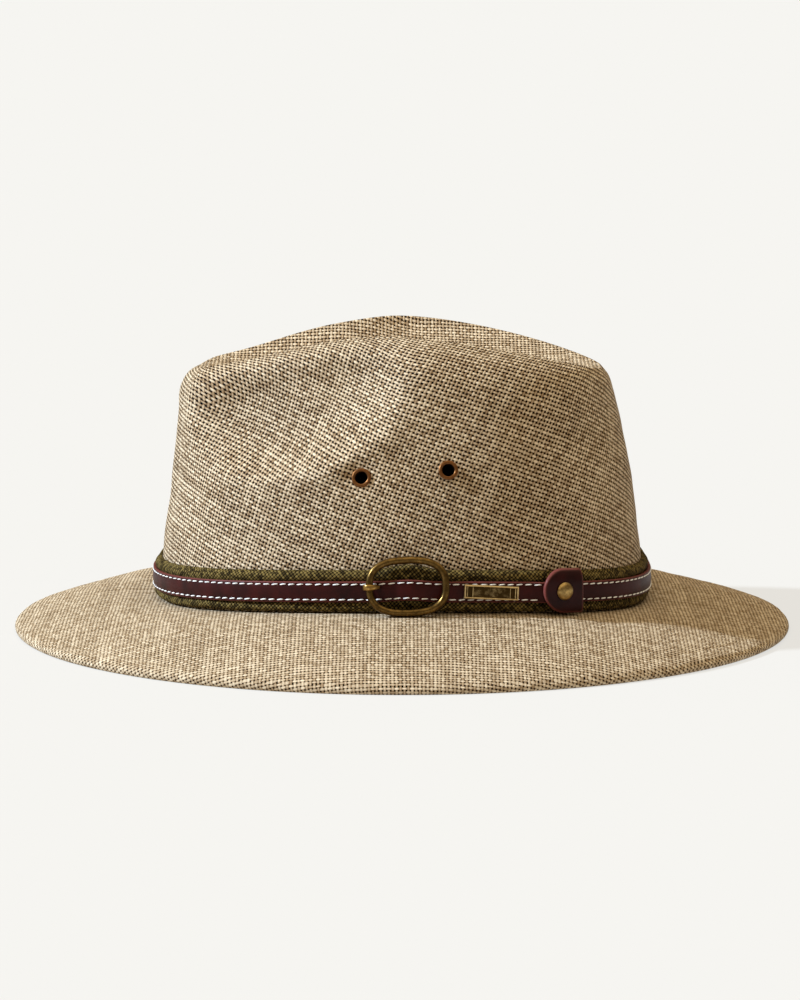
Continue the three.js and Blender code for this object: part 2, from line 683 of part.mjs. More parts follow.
function eyelet(frame) {
  const bore = EYELET_BORE / 2;
  const tube = bore + EYELET_TUBE_WALL;
  const rim = EYELET_OUTER / 2;
  const seat = EYELET_SEAT;
  const back = -CLOTH - EYELET_SEAT;
  return turned([
    [bore, seat + EYELET_LIP * 0.6],
    [bore, back - EYELET_LIP * 0.5],
    [tube + 0.6, back - EYELET_LIP * 0.5],
    [tube + 0.6, back],
    [tube, back],
    [tube, seat],
    [rim, seat],
    [rim - 0.15, seat + EYELET_LIP * 0.7],
    [lerp(bore, rim, 0.5), seat + EYELET_LIP],
    [bore, seat + EYELET_LIP * 0.6],
  ], frame, 12);
}

const eyeletSpots = [false, true].flatMap((mirrored) =>
  EYELET_SPOTS.map((spot, i) => ({
    name: `eyelet_${mirrored ? 'right' : 'left'}_${i === 0 ? 'front' : 'back'}`,
    frame: eyeletFrame(spot, mirrored),
  })),
);

// Assembly

function sideWithHoles() {
  const radius = EYELET_BORE / 2 + EYELET_TUBE_WALL + SEAM_GAP;
  return eyeletSpots.reduce((side, { frame }) => {
    const [low, high] = [-CUT_REACH / 2, CUT_REACH / 2];
    const drill = turned([[0, low], [radius, low], [radius, high], [0, high]], frame, 12);
    return side.subtract(solidOf(drill));
  }, crownSide());
}

function strap() {
  const shape = rectangle(prongHole.length, prongHole.width, prongHole.middle);
  const hole = solidOf(prism(shape, buckleFrame, -CUT_REACH / 2, wireRadius));
  return solidOf(sweptStrip(strapSections())).subtract(hole).subtract(shankHole());
}

const hat = new THREE.Group();
function addPiece(name, shape, material) {
  const geometry = shape.isBufferGeometry ? shape : geometryOf(shape);
  const mesh = new THREE.Mesh(geometry, material);
  mesh.name = name;
  hat.add(mesh);
}

addPiece('crown_side', sideWithHoles(), STRAW);
addPiece('crown_tip', crownTip(), STRAW);
addPiece('brim', brim(), STRAW);
addPiece('hat_band', solidOf(sweptRing(bandSection)), CANVAS);
addPiece('strap', strap(), LEATHER);
addPiece('buckle_frame', buckle(), BRASS);
addPiece('buckle_prong', prong(), BRASS);
addPiece('name_plate', namePlate(), BRASS);
addPiece('tab', tab(), LEATHER);
addPiece('rivet', rivet(), BRASS);
for (const { name, frame } of eyeletSpots) addPiece(name, eyelet(frame), COPPER);

export default hat;
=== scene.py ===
import math
from functools import partialmethod

import bpy
import numpy as np
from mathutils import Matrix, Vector


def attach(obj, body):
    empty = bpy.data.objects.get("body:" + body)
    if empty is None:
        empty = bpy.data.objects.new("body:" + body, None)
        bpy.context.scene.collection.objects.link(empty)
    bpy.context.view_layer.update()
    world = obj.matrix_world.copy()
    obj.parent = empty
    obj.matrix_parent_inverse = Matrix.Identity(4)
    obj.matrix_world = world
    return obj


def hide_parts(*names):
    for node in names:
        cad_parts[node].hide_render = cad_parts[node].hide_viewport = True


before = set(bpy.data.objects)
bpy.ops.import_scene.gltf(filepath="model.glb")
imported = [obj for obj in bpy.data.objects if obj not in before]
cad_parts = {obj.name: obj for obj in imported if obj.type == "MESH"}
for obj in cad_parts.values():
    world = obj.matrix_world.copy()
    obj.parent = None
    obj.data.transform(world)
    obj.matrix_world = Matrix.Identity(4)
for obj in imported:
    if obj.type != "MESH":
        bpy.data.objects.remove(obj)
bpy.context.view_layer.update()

# A drover hat: cut and sewn from open-woven paper cloth, with a padded canvas band, a saddle-stitched
# leather strap and antiqued brass. Shapes are worked out in millimetres and built in metres.
# -X is the front, -Y the wearer's left, where the buckle is. The angle phi runs round the crown from +X,
# the back; a rise is a share of the way up the side wall.

MM = 0.001
scene = bpy.context.scene
RNG = np.random.default_rng(11)

# Sizes, the same as the CAD model's
BRIM_LENGTH, BRIM_WIDTH = 330.0, 294.0
HEM_THICKNESS = 3.0
BRIM_CONVEXITY_AT_ENDS, BRIM_CONVEXITY_AT_SIDES = 1.9, 1.7
CLOTH = 1.6
HEAD_LENGTH, HEAD_WIDTH = 204.4, 168.0
BREAK_AT_ENDS, BREAK_AT_SIDES = 13.0, 20.5
RIDGE_FRONT, RIDGE_BACK, RIDGE_WIDTH, RIDGE_HEIGHT = 86.0, 84.5, 88.0, 128.0
RIDGE_END_DROP, RIDGE_PEAK_FORWARD, RIDGE_ARCH = 17.0, 5.0, 1.64
CREASE_DEPTH, CREASE_LENGTH, CREASE_WIDTH, CREASE_HOLLOW = 19.0, 104.0, 5.0, 1.7
FRONT_FULLNESS, BACK_FULLNESS = 2.05, 2.3
DENT_DEPTH, DENT_PLACE, DENT_AHEAD, DENT_BEHIND = 15.7, 118.6, 43.0, 34.0
DENT_RISE, DENT_BELOW, DENT_ABOVE = 0.836, 0.35, 0.796
DENT_SQUARENESS, DENT_FLATNESS, DENT_SOFTNESS, DENT_SEAM_FADE = 1.82, 4.0, 2.1, 0.45
SEAM_GAP = 0.3
BAND_HEIGHT, BAND_HEIGHT_AT_BUCKLE, BAND_LIFT, BAND_MIDDLE = 17.0, 19.2, 0.7, 1.8
STRAP_WIDTH, STRAP_THICKNESS, STRAP_OVERLAP, STRAP_RAMP = 8.4, 1.5, 13.0, 8.0
BULGE, BULGE_SPREAD = 2.0, 9.0
BUCKLE_LENGTH, BUCKLE_HEIGHT, BUCKLE_WIRE, BUCKLE_FULLNESS = 33.8, 24.2, 3.0, 2.6
BUCKLE_ALONG, BUCKLE_TILT, BUCKLE_TURN = 2.2, 8.0, 1.5
PRONG_REACH, PRONG_WIDTH, PRONG_THICKNESS, PRONG_DIP = 4.2, 2.4, 1.1, 0.9
PLATE_LENGTH, PLATE_HEIGHT, PLATE_ALONG, PLATE_TILT = 22.0, 5.8, 35.2, -2.5
TAB_LENGTH, TAB_HEIGHT, TAB_THICKNESS, TAB_DRAPE = 17.1, 18.0, 1.8, 1.5
TAB_ALONG, TAB_RAISE = 62.4, 0.9
RIVET_HEAD, RIVET_DOME = 7.4, 1.7
EYELET_OUTER, EYELET_BORE = 7.4, 5.0
# place along X, and rise
EYELET_SPOTS = {"front": (-17.0, 0.503), "back": (19.4, 0.536)}

# rise, inset share at the front, the sides and the back
WALL_SECTIONS = np.array([
    (0.00, 0.000, 0.000, 0.00),
    (0.16, 0.010, 0.010, 0.02),
    (0.30, 0.100, 0.070, 0.10),
    (0.45, 0.230, 0.160, 0.21),
    (0.60, 0.330, 0.275, 0.34),
    (0.72, 0.420, 0.390, 0.48),
    (0.82, 0.470, 0.510, 0.60),
    (0.90, 0.525, 0.645, 0.71),
    (0.96, 0.700, 0.800, 0.82),
    (1.00, 1.000, 1.000, 1.00),
])


def lerp(a, b, t):
    return a + (b - a) * t


def smoothstep(x, low, high):
    t = np.clip((x - low) / (high - low), 0, 1)
    return t * t * (3 - 2 * t)


def hill(x, middle, width):
    return np.exp(-((x - middle) / width) ** 2)


def spow(v, e):
    return np.sign(v) * np.abs(v) ** e


def size_of(v):
    return np.linalg.norm(v, axis=-1)


def unit(v):
    return v / np.maximum(size_of(v), 1e-9)[..., None]


def one_turn(count, start=0.0):
    return np.linspace(start, start + 2 * math.pi, count, endpoint=False)


def running_length(points):
    """Length along a line of points, from its first."""
    return np.concatenate([[0], np.cumsum(size_of(np.diff(points, axis=0)))])


def oval(phi, front, back, side):
    c, s = np.cos(phi), np.sin(phi)
    fullness = np.where(c < 0, FRONT_FULLNESS, BACK_FULLNESS)
    reach = np.where(c < 0, front, back)
    return np.stack([reach * spow(c, 2 / fullness), side * spow(s, 2 / fullness)], -1)


def head_line(phi, inset=0.0):
    a = HEAD_LENGTH / 2 - inset
    return oval(phi, a, a, HEAD_WIDTH / 2 - inset)


def break_height(phi):
    """Height of the line where the crown meets the brim."""
    return lerp(BREAK_AT_SIDES, BREAK_AT_ENDS, np.cos(phi) ** 2)


def plan_normal(phi):
    d = head_line(phi + 0.01) - head_line(phi - 0.01)
    return unit(np.stack([d[..., 1], -d[..., 0]], -1))


def wall_column(column, rise):
    """One column of the wall's table at any rise, on a smooth curve through its rows."""
    rises, values = WALL_SECTIONS[:, 0], WALL_SECTIONS[:, column]
    i = np.clip(np.searchsorted(rises, rise), 1, len(rises) - 1)
    rows = np.arange(len(rises))
    before, after = np.maximum(rows - 1, 0), np.minimum(rows + 1, len(rises) - 1)
    slope = (values[after] - values[before]) / (rises[after] - rises[before])
    span = rises[i] - rises[i - 1]
    t = (rise - rises[i - 1]) / span
    chord = (values[i] - values[i - 1]) / span
    bend = (slope[i - 1] - chord) * (1 - t) - (slope[i] - chord) * t
    return lerp(values[i - 1], values[i], t) + span * t * (1 - t) * bend


def dent_depth(phi, rise):
    from_back = np.degrees(np.arccos(np.clip(np.cos(phi), -1, 1)))
    ahead = from_back - DENT_PLACE
    across = np.where(ahead > 0, ahead / DENT_AHEAD, -ahead / DENT_BEHIND)
    up = np.where(rise < DENT_RISE, (DENT_RISE - rise) / DENT_BELOW, (rise - DENT_RISE) / DENT_ABOVE)
    reach = across ** DENT_SQUARENESS + np.abs(up) ** DENT_SQUARENESS
    fade = 1 - DENT_SEAM_FADE * smoothstep(rise, DENT_RISE, 1)
    inside = np.clip(1 - reach ** (DENT_FLATNESS / DENT_SQUARENESS), 0, 1)
    return DENT_DEPTH * inside ** DENT_SOFTNESS * fade


def ridge_height(x):
    f = x + RIDGE_PEAK_FORWARD
    reach = np.where(f < 0, RIDGE_FRONT - RIDGE_PEAK_FORWARD, RIDGE_BACK + RIDGE_PEAK_FORWARD)
    return RIDGE_HEIGHT - RIDGE_END_DROP * np.abs(f / reach) ** RIDGE_ARCH


def ridge_plan(phi):
    return oval(phi, RIDGE_FRONT, RIDGE_BACK, RIDGE_WIDTH / 2)


def wall_point(phi, rise):
    """Outer face of the side wall; phi and rise are of one shape."""
    ridge = ridge_plan(phi)
    end = np.where(np.cos(phi) < 0, wall_column(1, rise), wall_column(3, rise))
    share = lerp(wall_column(2, rise), end, np.cos(phi) ** 2)[..., None]
    p = head_line(phi) * (1 - share) + ridge * share
    p = p - plan_normal(phi) * dent_depth(phi, rise)[..., None]
    foot = break_height(phi) + SEAM_GAP
    z = lerp(foot, ridge_height(ridge[..., 0]), rise)
    return np.concatenate([p, z[..., None]], -1)


def tip_point(phi, share):
    """Top of the crown, from the ridge seam (share 0) to the crease (share 1)."""
    seam = wall_point(phi, np.ones_like(phi))
    crease = np.stack([CREASE_LENGTH / 2 * np.cos(phi), CREASE_WIDTH / 2 * np.sin(phi),
                       np.full_like(phi, RIDGE_HEIGHT - CREASE_DEPTH)], -1)
    p = lerp(seam, crease, share[..., None])
    p[..., 2] = lerp(crease[..., 2], seam[..., 2], (1 - share) ** CREASE_HOLLOW)
    return p


def beside_wall(phi, height, out):
    """A point beside the wall at a height, moved out by a distance."""
    phi, height, out = (np.array(v, float) for v in np.broadcast_arrays(phi, height, out))
    foot = break_height(phi) + SEAM_GAP
    top = ridge_height(ridge_plan(phi)[..., 0])
    p = wall_point(phi, np.clip((height - foot) / (top - foot), 0, 1))
    p[..., 2] = height
    p[..., :2] += plan_normal(phi) * out[..., None]
    return p


def angle_at(along):
    """The angle on the left side where the head line has this X."""
    low, high = -math.pi, 0.0
    for _ in range(50):
        mid = (low + high) / 2
        if head_line(mid)[0] < along:
            low = mid
        else:
            high = mid
    return (low + high) / 2


# arc length round the head line, from the middle of the left side, as a lookup over two turns
TURN_PHI = np.linspace(-math.pi, 3 * math.pi, 4 * 1440 + 1)
TURN_ARC = running_length(head_line(TURN_PHI))
TURN_ARC -= np.interp(-math.pi / 2, TURN_PHI, TURN_ARC)


def arc(phi):
    return np.interp(phi, TURN_PHI, TURN_ARC)


def phi_of_arc(s):
    return np.interp(s, TURN_ARC, TURN_PHI)


ROUND = arc(math.pi) - arc(-math.pi)
buckle_phi, plate_phi, tab_phi = angle_at(BUCKLE_ALONG), angle_at(PLATE_ALONG), angle_at(TAB_ALONG)


def wrap_arc(ds):
    return (ds + ROUND / 2) % ROUND - ROUND / 2


def near_buckle(phi):
    return hill(wrap_arc(arc(phi) - arc(buckle_phi)), 0, BULGE_SPREAD)


def bulge(phi):
    return BULGE * near_buckle(phi)


def band_height(phi):
    return lerp(BAND_HEIGHT, BAND_HEIGHT_AT_BUCKLE, near_buckle(phi))


def band_centre(phi):
    return break_height(phi) + BAND_LIFT + band_height(phi) / 2


def strap_bed(phi):
    return 2 * SEAM_GAP + BAND_MIDDLE + bulge(phi)


def strap_face(phi):
    return strap_bed(phi) + STRAP_THICKNESS


def local_frame(phi, height, out):
    """Columns along, up and outward, and the origin, in mm."""
    step_round, step_up = 0.02, 3
    along = unit(beside_wall(phi + step_round, height, out) - beside_wall(phi - step_round, height, out))
    up = beside_wall(phi, height + step_up, out) - beside_wall(phi, height - step_up, out)
    outward = unit(np.cross(along, up))
    return np.stack([along, np.cross(outward, along), outward], 1), beside_wall(phi, height, out)


class Waves:
    """Smooth seeded noise as a sum of random plane waves, so that it is the same on every run."""

    def __init__(self, scale, count, seed):
        rng = np.random.default_rng(seed)
        k = unit(rng.normal(size=(count, 3)))
        self.k = k * (2 * math.pi / scale) * rng.uniform(0.6, 1.5, (count, 1))
        self.phase = rng.uniform(0, 2 * math.pi, count)

    def __call__(self, p):
        out = np.zeros(p.shape[:-1])
        for k, phase in zip(self.k, self.phase):
            out += np.sin(p @ k + phase)
        return out * math.sqrt(2 / len(self.phase))


# Meshes
def new_mesh(name, verts_mm, faces, uv=None, **attributes):
    """uv has a row for each vertex, or for each face corner; attributes have a value for each vertex."""
    mesh = bpy.data.meshes.new(name)
    verts = np.asarray(verts_mm, float).reshape(-1, 3) * MM
    mesh.from_pydata(verts.tolist(), [], [list(map(int, face)) for face in faces])
    mesh.update()
    if uv is not None:
        loops = np.empty(len(mesh.loops), int)
        mesh.loops.foreach_get("vertex_index", loops)
        data = uv[loops] if len(uv) == len(verts) else uv
        mesh.uv_layers.new(name="weave").data.foreach_set("uv", data.astype(np.float32).ravel())
    for key, values in attributes.items():
        values = np.asarray(values, np.float32).ravel()
        mesh.attributes.new(key, "FLOAT", "POINT").data.foreach_set("value", values)
    mesh.polygons.foreach_set("use_smooth", np.ones(len(mesh.polygons), bool))
    mesh.update()
    piece = bpy.data.objects.new(name, mesh)
    scene.collection.objects.link(piece)
    return piece


def grid_faces(rows, cols, close_rows, close_cols, flip=False):
    r = np.arange(rows if close_rows else rows - 1)
    c = np.arange(cols if close_cols else cols - 1)
    r, c = np.meshgrid(r, c, indexing="ij")
    a = r * cols + c
    b = r * cols + (c + 1) % cols
    d = ((r + 1) % rows) * cols + c
    e = ((r + 1) % rows) * cols + (c + 1) % cols
    return np.stack([a, d, e, b] if flip else [a, b, e, d], -1).reshape(-1, 4)


def tube_faces(rows, cols, flip=False):
    """Faces of a tube of rings, closed at both ends."""
    first, last = list(range(cols)), list(range((rows - 1) * cols, rows * cols))
    ends = [first, last[::-1]] if flip else [first[::-1], last]
    return grid_faces(rows, cols, False, True, flip).tolist() + ends


def grid_normals(grid):
    """Normals of a grid of points whose columns close on themselves."""
    down = np.gradient(grid, axis=0)
    across = np.roll(grid, -1, 1) - np.roll(grid, 1, 1)
    return unit(np.cross(across, down))


def loop_grid(name, grid, uv_at, flip=False):
    """A closed mesh from a grid of points. uv_at takes a corner's row and column, which may be one past the
    last, and its face's own column."""
    rows, cols = grid.shape[:2]
    r, c = np.meshgrid(np.arange(rows), np.arange(cols), indexing="ij")
    corners = [(r, c), (r, c + 1), (r + 1, c + 1), (r + 1, c)]
    if flip:
        corners = [(r, c), (r + 1, c), (r + 1, c + 1), (r, c + 1)]
    uv = np.stack([uv_at(row, column, c) for row, column in corners], -2)
    faces = grid_faces(rows, cols, True, True, flip)
    return new_mesh(name, grid, faces, uv.reshape(-1, 2))


def join(parts, name):
    """Joins lists of (vertices, faces) into one mesh."""
    verts, faces, base = [], [], 0
    for part_verts, part_faces in parts:
        verts.append(np.asarray(part_verts, float))
        faces += [[i + base for i in face] for face in part_faces]
        base += len(part_verts)
    return new_mesh(name, np.concatenate(verts), faces)


def arc_points(x, y, radius, start, end, count):
    """Points on a flat arc, from one angle in degrees to another."""
    angles = np.radians(np.linspace(start, end, count))
    return [(x + radius * math.cos(a), y + radius * math.sin(a)) for a in angles]


def mirrored(profile):
    """The whole of a profile that is given up to its middle row."""
    return profile + [(-height, *rest) for height, *rest in profile[-2::-1]]


# Materials
class Nodes:
    """Short way to write the node tree of a material or a world."""

    def __init__(self, name, kind=bpy.data.materials):
        self.data = kind.new(name)
        self.data.use_nodes = True
        self.tree = self.data.node_tree

    def new(self, kind):
        return self.tree.nodes.new("ShaderNode" + kind)

    def link(self, source, socket):
        if isinstance(source, (int, float)):
            socket.default_value = source
        elif isinstance(source, tuple):
            socket.default_value = source if len(source) == 4 or socket.type == "VECTOR" else (*source, 1)
        else:
            self.tree.links.new(source, socket)

    def feed(self, node, *values):
        """Sets or links a node's first inputs and gives its first output."""
        for socket, value in zip(node.inputs, values):
            self.link(value, socket)
        return node.outputs[0]

    def put(self, node, **values):
        """Sets or links a node's inputs by name."""
        for key, value in values.items():
            self.link(value, node.inputs[key.replace("_", " ")])
        return node

    def math(self, op, *values):
        node = self.new("Math")
        node.operation = op
        return self.feed(node, *values)

    add = partialmethod(math, "ADD")
    sub = partialmethod(math, "SUBTRACT")
    mul = partialmethod(math, "MULTIPLY")
    div = partialmethod(math, "DIVIDE")
    floor = partialmethod(math, "FLOOR")

    def vary(self, tone, value, middle, amount):
        """Shifts a tone by how far a value is from its middle."""
        return self.add(tone, self.mul(self.sub(value, middle), amount))

    def vmath(self, op, *values):
        node = self.new("VectorMath")
        node.operation = op
        return self.feed(node, *values)

    def scaled(self, vector, factor):
        return self.vmath("MULTIPLY", vector, (factor, factor, factor))

    def uv(self):
        node = self.new("UVMap")
        node.uv_map = "weave"
        return node.outputs[0]

    def object_mm(self):
        return self.scaled(self.new("TexCoord").outputs["Object"], 1000.0)

    def split(self, vector):
        node = self.new("SeparateXYZ")
        self.feed(node, vector)
        return node.outputs

    def vector(self, x, y, z=0.0):
        return self.feed(self.new("CombineXYZ"), x, y, z)

    def noise(self, vector, scale, detail=2.0, roughness=0.5):
        node = self.new("TexNoise")
        self.put(node, Vector=vector, Scale=scale, Detail=detail, Roughness=roughness)
        return node.outputs["Fac"]

    def white(self, x, y, z=0.0):
        node = self.new("TexWhiteNoise")
        node.noise_dimensions = "3D"
        return self.put(node, Vector=self.vector(x, y, z)).outputs["Value"]

    def remap(self, value, low, high, to_low=0.0, to_high=1.0, smooth=False):
        node = self.new("MapRange")
        if smooth:
            node.interpolation_type = "SMOOTHSTEP"
        return self.feed(node, value, low, high, to_low, to_high)

    def mix(self, factor, a, b):
        node = self.new("Mix")
        node.data_type = "RGBA"
        self.link(factor, node.inputs[0])
        self.link(a, node.inputs[6])
        self.link(b, node.inputs[7])
        return node.outputs[2]

    def ramp(self, value, stops):
        """stops: (position, colour in sRGB from 0 to 255)."""
        node = self.new("ValToRGB")
        elements = node.color_ramp.elements
        while len(elements) < len(stops):
            elements.new(0.5)
        for element, (position, colour) in zip(elements, stops):
            element.position = position
            element.color = (*srgb(*colour), 1)
        return self.feed(node, value)

    def attribute(self, name):
        node = self.new("Attribute")
        node.attribute_name = name
        return node.outputs["Fac"]

    def bump(self, height, distance, strength):
        return self.put(self.new("Bump"), Distance=distance, Strength=strength, Height=height).outputs[0]

    def finish(self, color, roughness, **others):
        self.put(self.tree.nodes["Principled BSDF"], Base_Color=color, Roughness=roughness, **others)
        return self.data


def srgb(r, g, b):
    def linear(c):
        c /= 255
        return c / 12.92 if c <= 0.04045 else ((c + 0.055) / 1.055) ** 2.4
    return (linear(r), linear(g), linear(b))


def weave_height(n, u, v, half_u, half_v, lift):
    """Plain weave in pitch units. Gives the height (0 to about 1.3), 1 where the warp is on top, and the
    numbers of the two yarns."""
    def yarn(across, number, along, half, swing):
        """Height of one set of yarns: an oval section with its middle at 0.5, riding up and down."""
        sign = n.sub(1.0, n.mul(n.math("FLOORED_MODULO", number, 2.0), 2.0))
        rise = n.mul(n.mul(n.math("SINE", n.mul(along, math.pi)), sign), swing)
        t = n.div(n.sub(n.sub(across, number), 0.5), half)
        inside = n.sub(1.0, n.mul(t, t))
        section = n.mul(n.math("SQRT", n.math("MAXIMUM", inside, 0.0)), 0.5)
        return n.mul(n.math("GREATER_THAN", inside, 0.0), n.add(n.add(section, rise), 0.5))

    # warp runs along v, weft along u
    fu, fv = n.floor(u), n.floor(v)
    warp, weft = yarn(u, fu, v, half_u, lift), yarn(v, fv, u, half_v, -lift)
    height = n.math("MAXIMUM", n.math("MAXIMUM", warp, weft), 0.0)
    return height, n.math("GREATER_THAN", warp, weft), fu, fv


# How straw yarns wander (mm, and the noise's scale), and vary in half width (in pitches) and in tone
WANDER, WANDER_SCALE = 0.9, 0.05
WIDTH_SPREAD, SLUB_SPREAD, MEAN_SWELL = 0.05, 0.12, 0.083
STRAW_LIFT = 0.34
YARN_TONE, CELL_TONE, FIBRE_TONE = 0.16, 0.34, 0.8


def straw_material(name, pitch, half, dark, mid, light, hole_shade=(3, 1, 0), weft_painted_light=0.07, relief=1.0):
    """Open plain weave. pitch and half width (a share of the pitch) are each for warp and weft."""
    n = Nodes(name)
    uv = n.uv()
    wander = n.noise(uv, WANDER_SCALE).node.outputs["Color"]
    shift = n.vmath("SCALE", n.vmath("SUBTRACT", wander, (0.5, 0.5, 0.5)))
    shift.node.inputs["Scale"].default_value = WANDER
    moved = n.vmath("ADD", uv, shift)
    mu, mv, _ = n.split(moved)
    u, v = n.div(mu, pitch[0]), n.div(mv, pitch[1])
    fu, fv = n.floor(u), n.floor(v)
    # each yarn has its own width and tone, and swells along its length
    own_u, own_v = n.white(fu, 3.0), n.white(7.0, fv)
    slub_u = n.noise(n.vector(n.mul(fu, 7.3), n.mul(v, 0.4)), 1.0)
    slub_v = n.noise(n.vector(n.mul(u, 0.4), n.mul(fv, 5.1), 9.0), 1.0)

    def half_width(own, slub, middle):
        swell = n.add(n.mul(own, WIDTH_SPREAD), n.mul(slub, SLUB_SPREAD))
        return n.add(swell, middle - MEAN_SWELL)

    half_u, half_v = half_width(own_u, slub_u, half[0]), half_width(own_v, slub_v, half[1])
    height, warp_top, fu, fv = weave_height(n, u, v, half_u, half_v, STRAW_LIFT)
    weft_top = n.sub(1.0, warp_top)
    own = n.add(n.mul(own_u, warp_top), n.mul(own_v, weft_top))
    fibre = n.noise(n.scaled(moved, 4.5), 1.0, 3.0, 0.6)
    # painted light and shade by the weave's height: the tops of the crossings are painted pale as highlight,
    # and the sides of the yarns and where they pass under are painted brown as shade
    tone = n.remap(height, 0.3, 1.2, 0.0, 0.8)
    tone = n.vary(tone, own, 0.5, YARN_TONE)
    tone = n.vary(tone, n.white(fu, fv, 4.0), 0.5, CELL_TONE)
    tone = n.vary(tone, fibre, 0.5, FIBRE_TONE)
    # weft crossings are painted lighter and warp crossings darker, as painted light and shade for which way
    # each faces the light
    tone = n.vary(tone, weft_top, 0.5, 2 * weft_painted_light)
    base = n.ramp(tone, [(0.08, dark), (0.48, mid), (1.0, light)])
    # large faint patches
    patch = n.noise(n.object_mm(), 0.03, 3.0)
    base = n.mix(n.remap(patch, 0.3, 0.7, 0.0, 0.12), base, srgb(*dark))
    # the holes are painted near black, as painted shade of the hat's dark inside seen through them
    color = n.mix(n.remap(height, 0.36, 0.58, smooth=True), srgb(*hole_shade), base)
    normal = n.bump(n.add(height, n.mul(fibre, 0.12)), 0.0004, relief)
    return n.finish(color, 0.7, Normal=normal, Specular_IOR_Level=0.08)


def canvas_material(name):
    """A close plain weave, cut on the bias."""
    pitch, bias_along, bias_across = 1.15, 0.74, 0.67
    n = Nodes(name)
    uv = n.uv()
    mu, mv, _ = n.split(uv)
    u = n.div(n.add(n.mul(mu, bias_along), n.mul(mv, bias_across)), pitch)
    v = n.div(n.sub(n.mul(mv, bias_along), n.mul(mu, bias_across)), pitch)
    height, _, fu, fv = weave_height(n, u, v, 0.41, 0.4, 0.4)
    yarns = n.add(n.white(fu, 1.0), n.white(5.0, fv))
    fibre = n.noise(n.scaled(uv, 5.0), 1.0, 3.0, 0.6)
    # painted light and shade by the weave's height: darker low between the crossings as painted shade, paler
    # on their tops as painted highlight
    tone = n.remap(height, 0.55, 1.3, 0.0, 0.8)
    tone = n.vary(tone, n.white(fu, fv, 2.0), 0.5, 0.5)
    tone = n.vary(tone, yarns, 1.0, 0.12)
    tone = n.vary(tone, fibre, 0.5, 0.6)
    base = n.ramp(tone, [(0.1, (14, 9, 3)), (0.5, (47, 36, 14)), (0.95, (128, 108, 60))])
    # the gaps between the yarns are painted near black as painted shade
    color = n.mix(n.remap(height, 0.4, 0.85, smooth=True), srgb(8, 5, 1), base)
    normal = n.bump(n.add(height, n.mul(fibre, 0.2)), 0.00035, 0.9)
    return n.finish(color, 0.85, Normal=normal, Specular_IOR_Level=0.06)


def leather_material(name, deep, body, edge, rough):
    """Cloudy grained leather; the mesh says where its cut edge is."""
    n = Nodes(name)
    p = n.object_mm()
    pores = n.put(n.new("TexVoronoi"), Vector=p, Scale=1.6).outputs["Distance"]
    fine = n.noise(p, 2.2, 4.0, 0.6)
    cloud = n.noise(p, 0.11, 3.0)
    pale = [min(255, c * 1.35) for c in body]
    tone = n.add(n.mul(cloud, 0.8), n.mul(fine, 0.25))
    base = n.ramp(tone, [(0.3, deep), (0.62, body), (0.9, pale)])
    worn = n.mul(n.attribute("edge"), n.remap(fine, 0.3, 0.65, 0.55, 1.0))
    color = n.mix(worn, base, srgb(*edge))
    height = n.add(n.mul(n.math("MINIMUM", pores, 0.5), 0.6), n.mul(fine, 0.5))
    roughness = n.remap(fine, 0.3, 0.7, rough - 0.07, rough + 0.12)
    return n.finish(color, roughness, Normal=n.bump(height, 0.00012, 0.55), Specular_IOR_Level=0.13)


def brass_material(name, dark, bright, rough, patina):
    """Bright where it is worn, dark with patina in the recesses; the mesh may say how worn it is, and on the
    plate it also paints shade into the slots.
    """
    n = Nodes(name)
    p = n.object_mm()
    cloud = n.noise(p, 0.5, 4.0, 0.6)
    fine = n.noise(p, 3.5, 3.0, 0.6)
    point = n.remap(n.new("NewGeometry").outputs["Pointiness"], 0.46, 0.56)
    wear = n.add(n.mul(point, 0.55), n.mul(cloud, 0.75))
    wear = n.vary(wear, fine, 0.5, 0.35)
    wear = n.add(wear, n.attribute("worn"))
    color = n.ramp(n.remap(wear, patina - 0.3, patina + 0.35), [(0.0, dark), (1.0, bright)])
    roughness = n.remap(cloud, 0.3, 0.7, rough + 0.16, rough)
    normal = n.bump(n.add(cloud, n.mul(fine, 0.5)), 0.00008, 0.5)
    return n.finish(color, roughness, Normal=normal, Metallic=1.0)


def thread_material(name, color):
    n = Nodes(name)
    p = n.object_mm()
    tone = n.noise(p, 2.5, 3.0, 0.6)
    base = n.ramp(tone, [(0.25, [c * 0.84 for c in color]), (0.65, color)])
    normal = n.bump(n.noise(p, 6.0), 0.0001, 0.6)
    return n.finish(base, 0.7, Normal=normal, Specular_IOR_Level=0.3)


# Yarn pitch in mm of the crown and the brim, warp and weft
CROWN_PITCH, BRIM_PITCH = (1.56, 1.7), (1.52, 1.62)
# each: painted shade on the yarns' sides, their own middle tone, and painted highlight on the tops of the
# crossings
CROWN_COLOURS = (70, 44, 16), (152, 124, 90), (230, 208, 174)
BRIM_COLOURS = (88, 63, 32), (150, 124, 92), (222, 202, 170)

side_cloth = straw_material("straw_side", CROWN_PITCH, (0.262, 0.272), *CROWN_COLOURS)
tip_cloth = straw_material("straw_tip", CROWN_PITCH, (0.29, 0.3), *CROWN_COLOURS)
brim_cloth = straw_material("straw_brim", BRIM_PITCH, (0.3, 0.305), *BRIM_COLOURS,
                            hole_shade=(6, 4, 2), weft_painted_light=0.04, relief=0.35)
canvas = canvas_material("olive_canvas")
strap_leather = leather_material("strap_leather", (28, 7, 5), (56, 13, 9), (116, 58, 50), 0.42)
tab_leather = leather_material("tab_leather", (24, 7, 6), (44, 12, 11), (124, 64, 56), 0.36)
wire_brass = brass_material("antique_brass_wire", (26, 16, 6), (156, 122, 66), 0.25, 0.8)
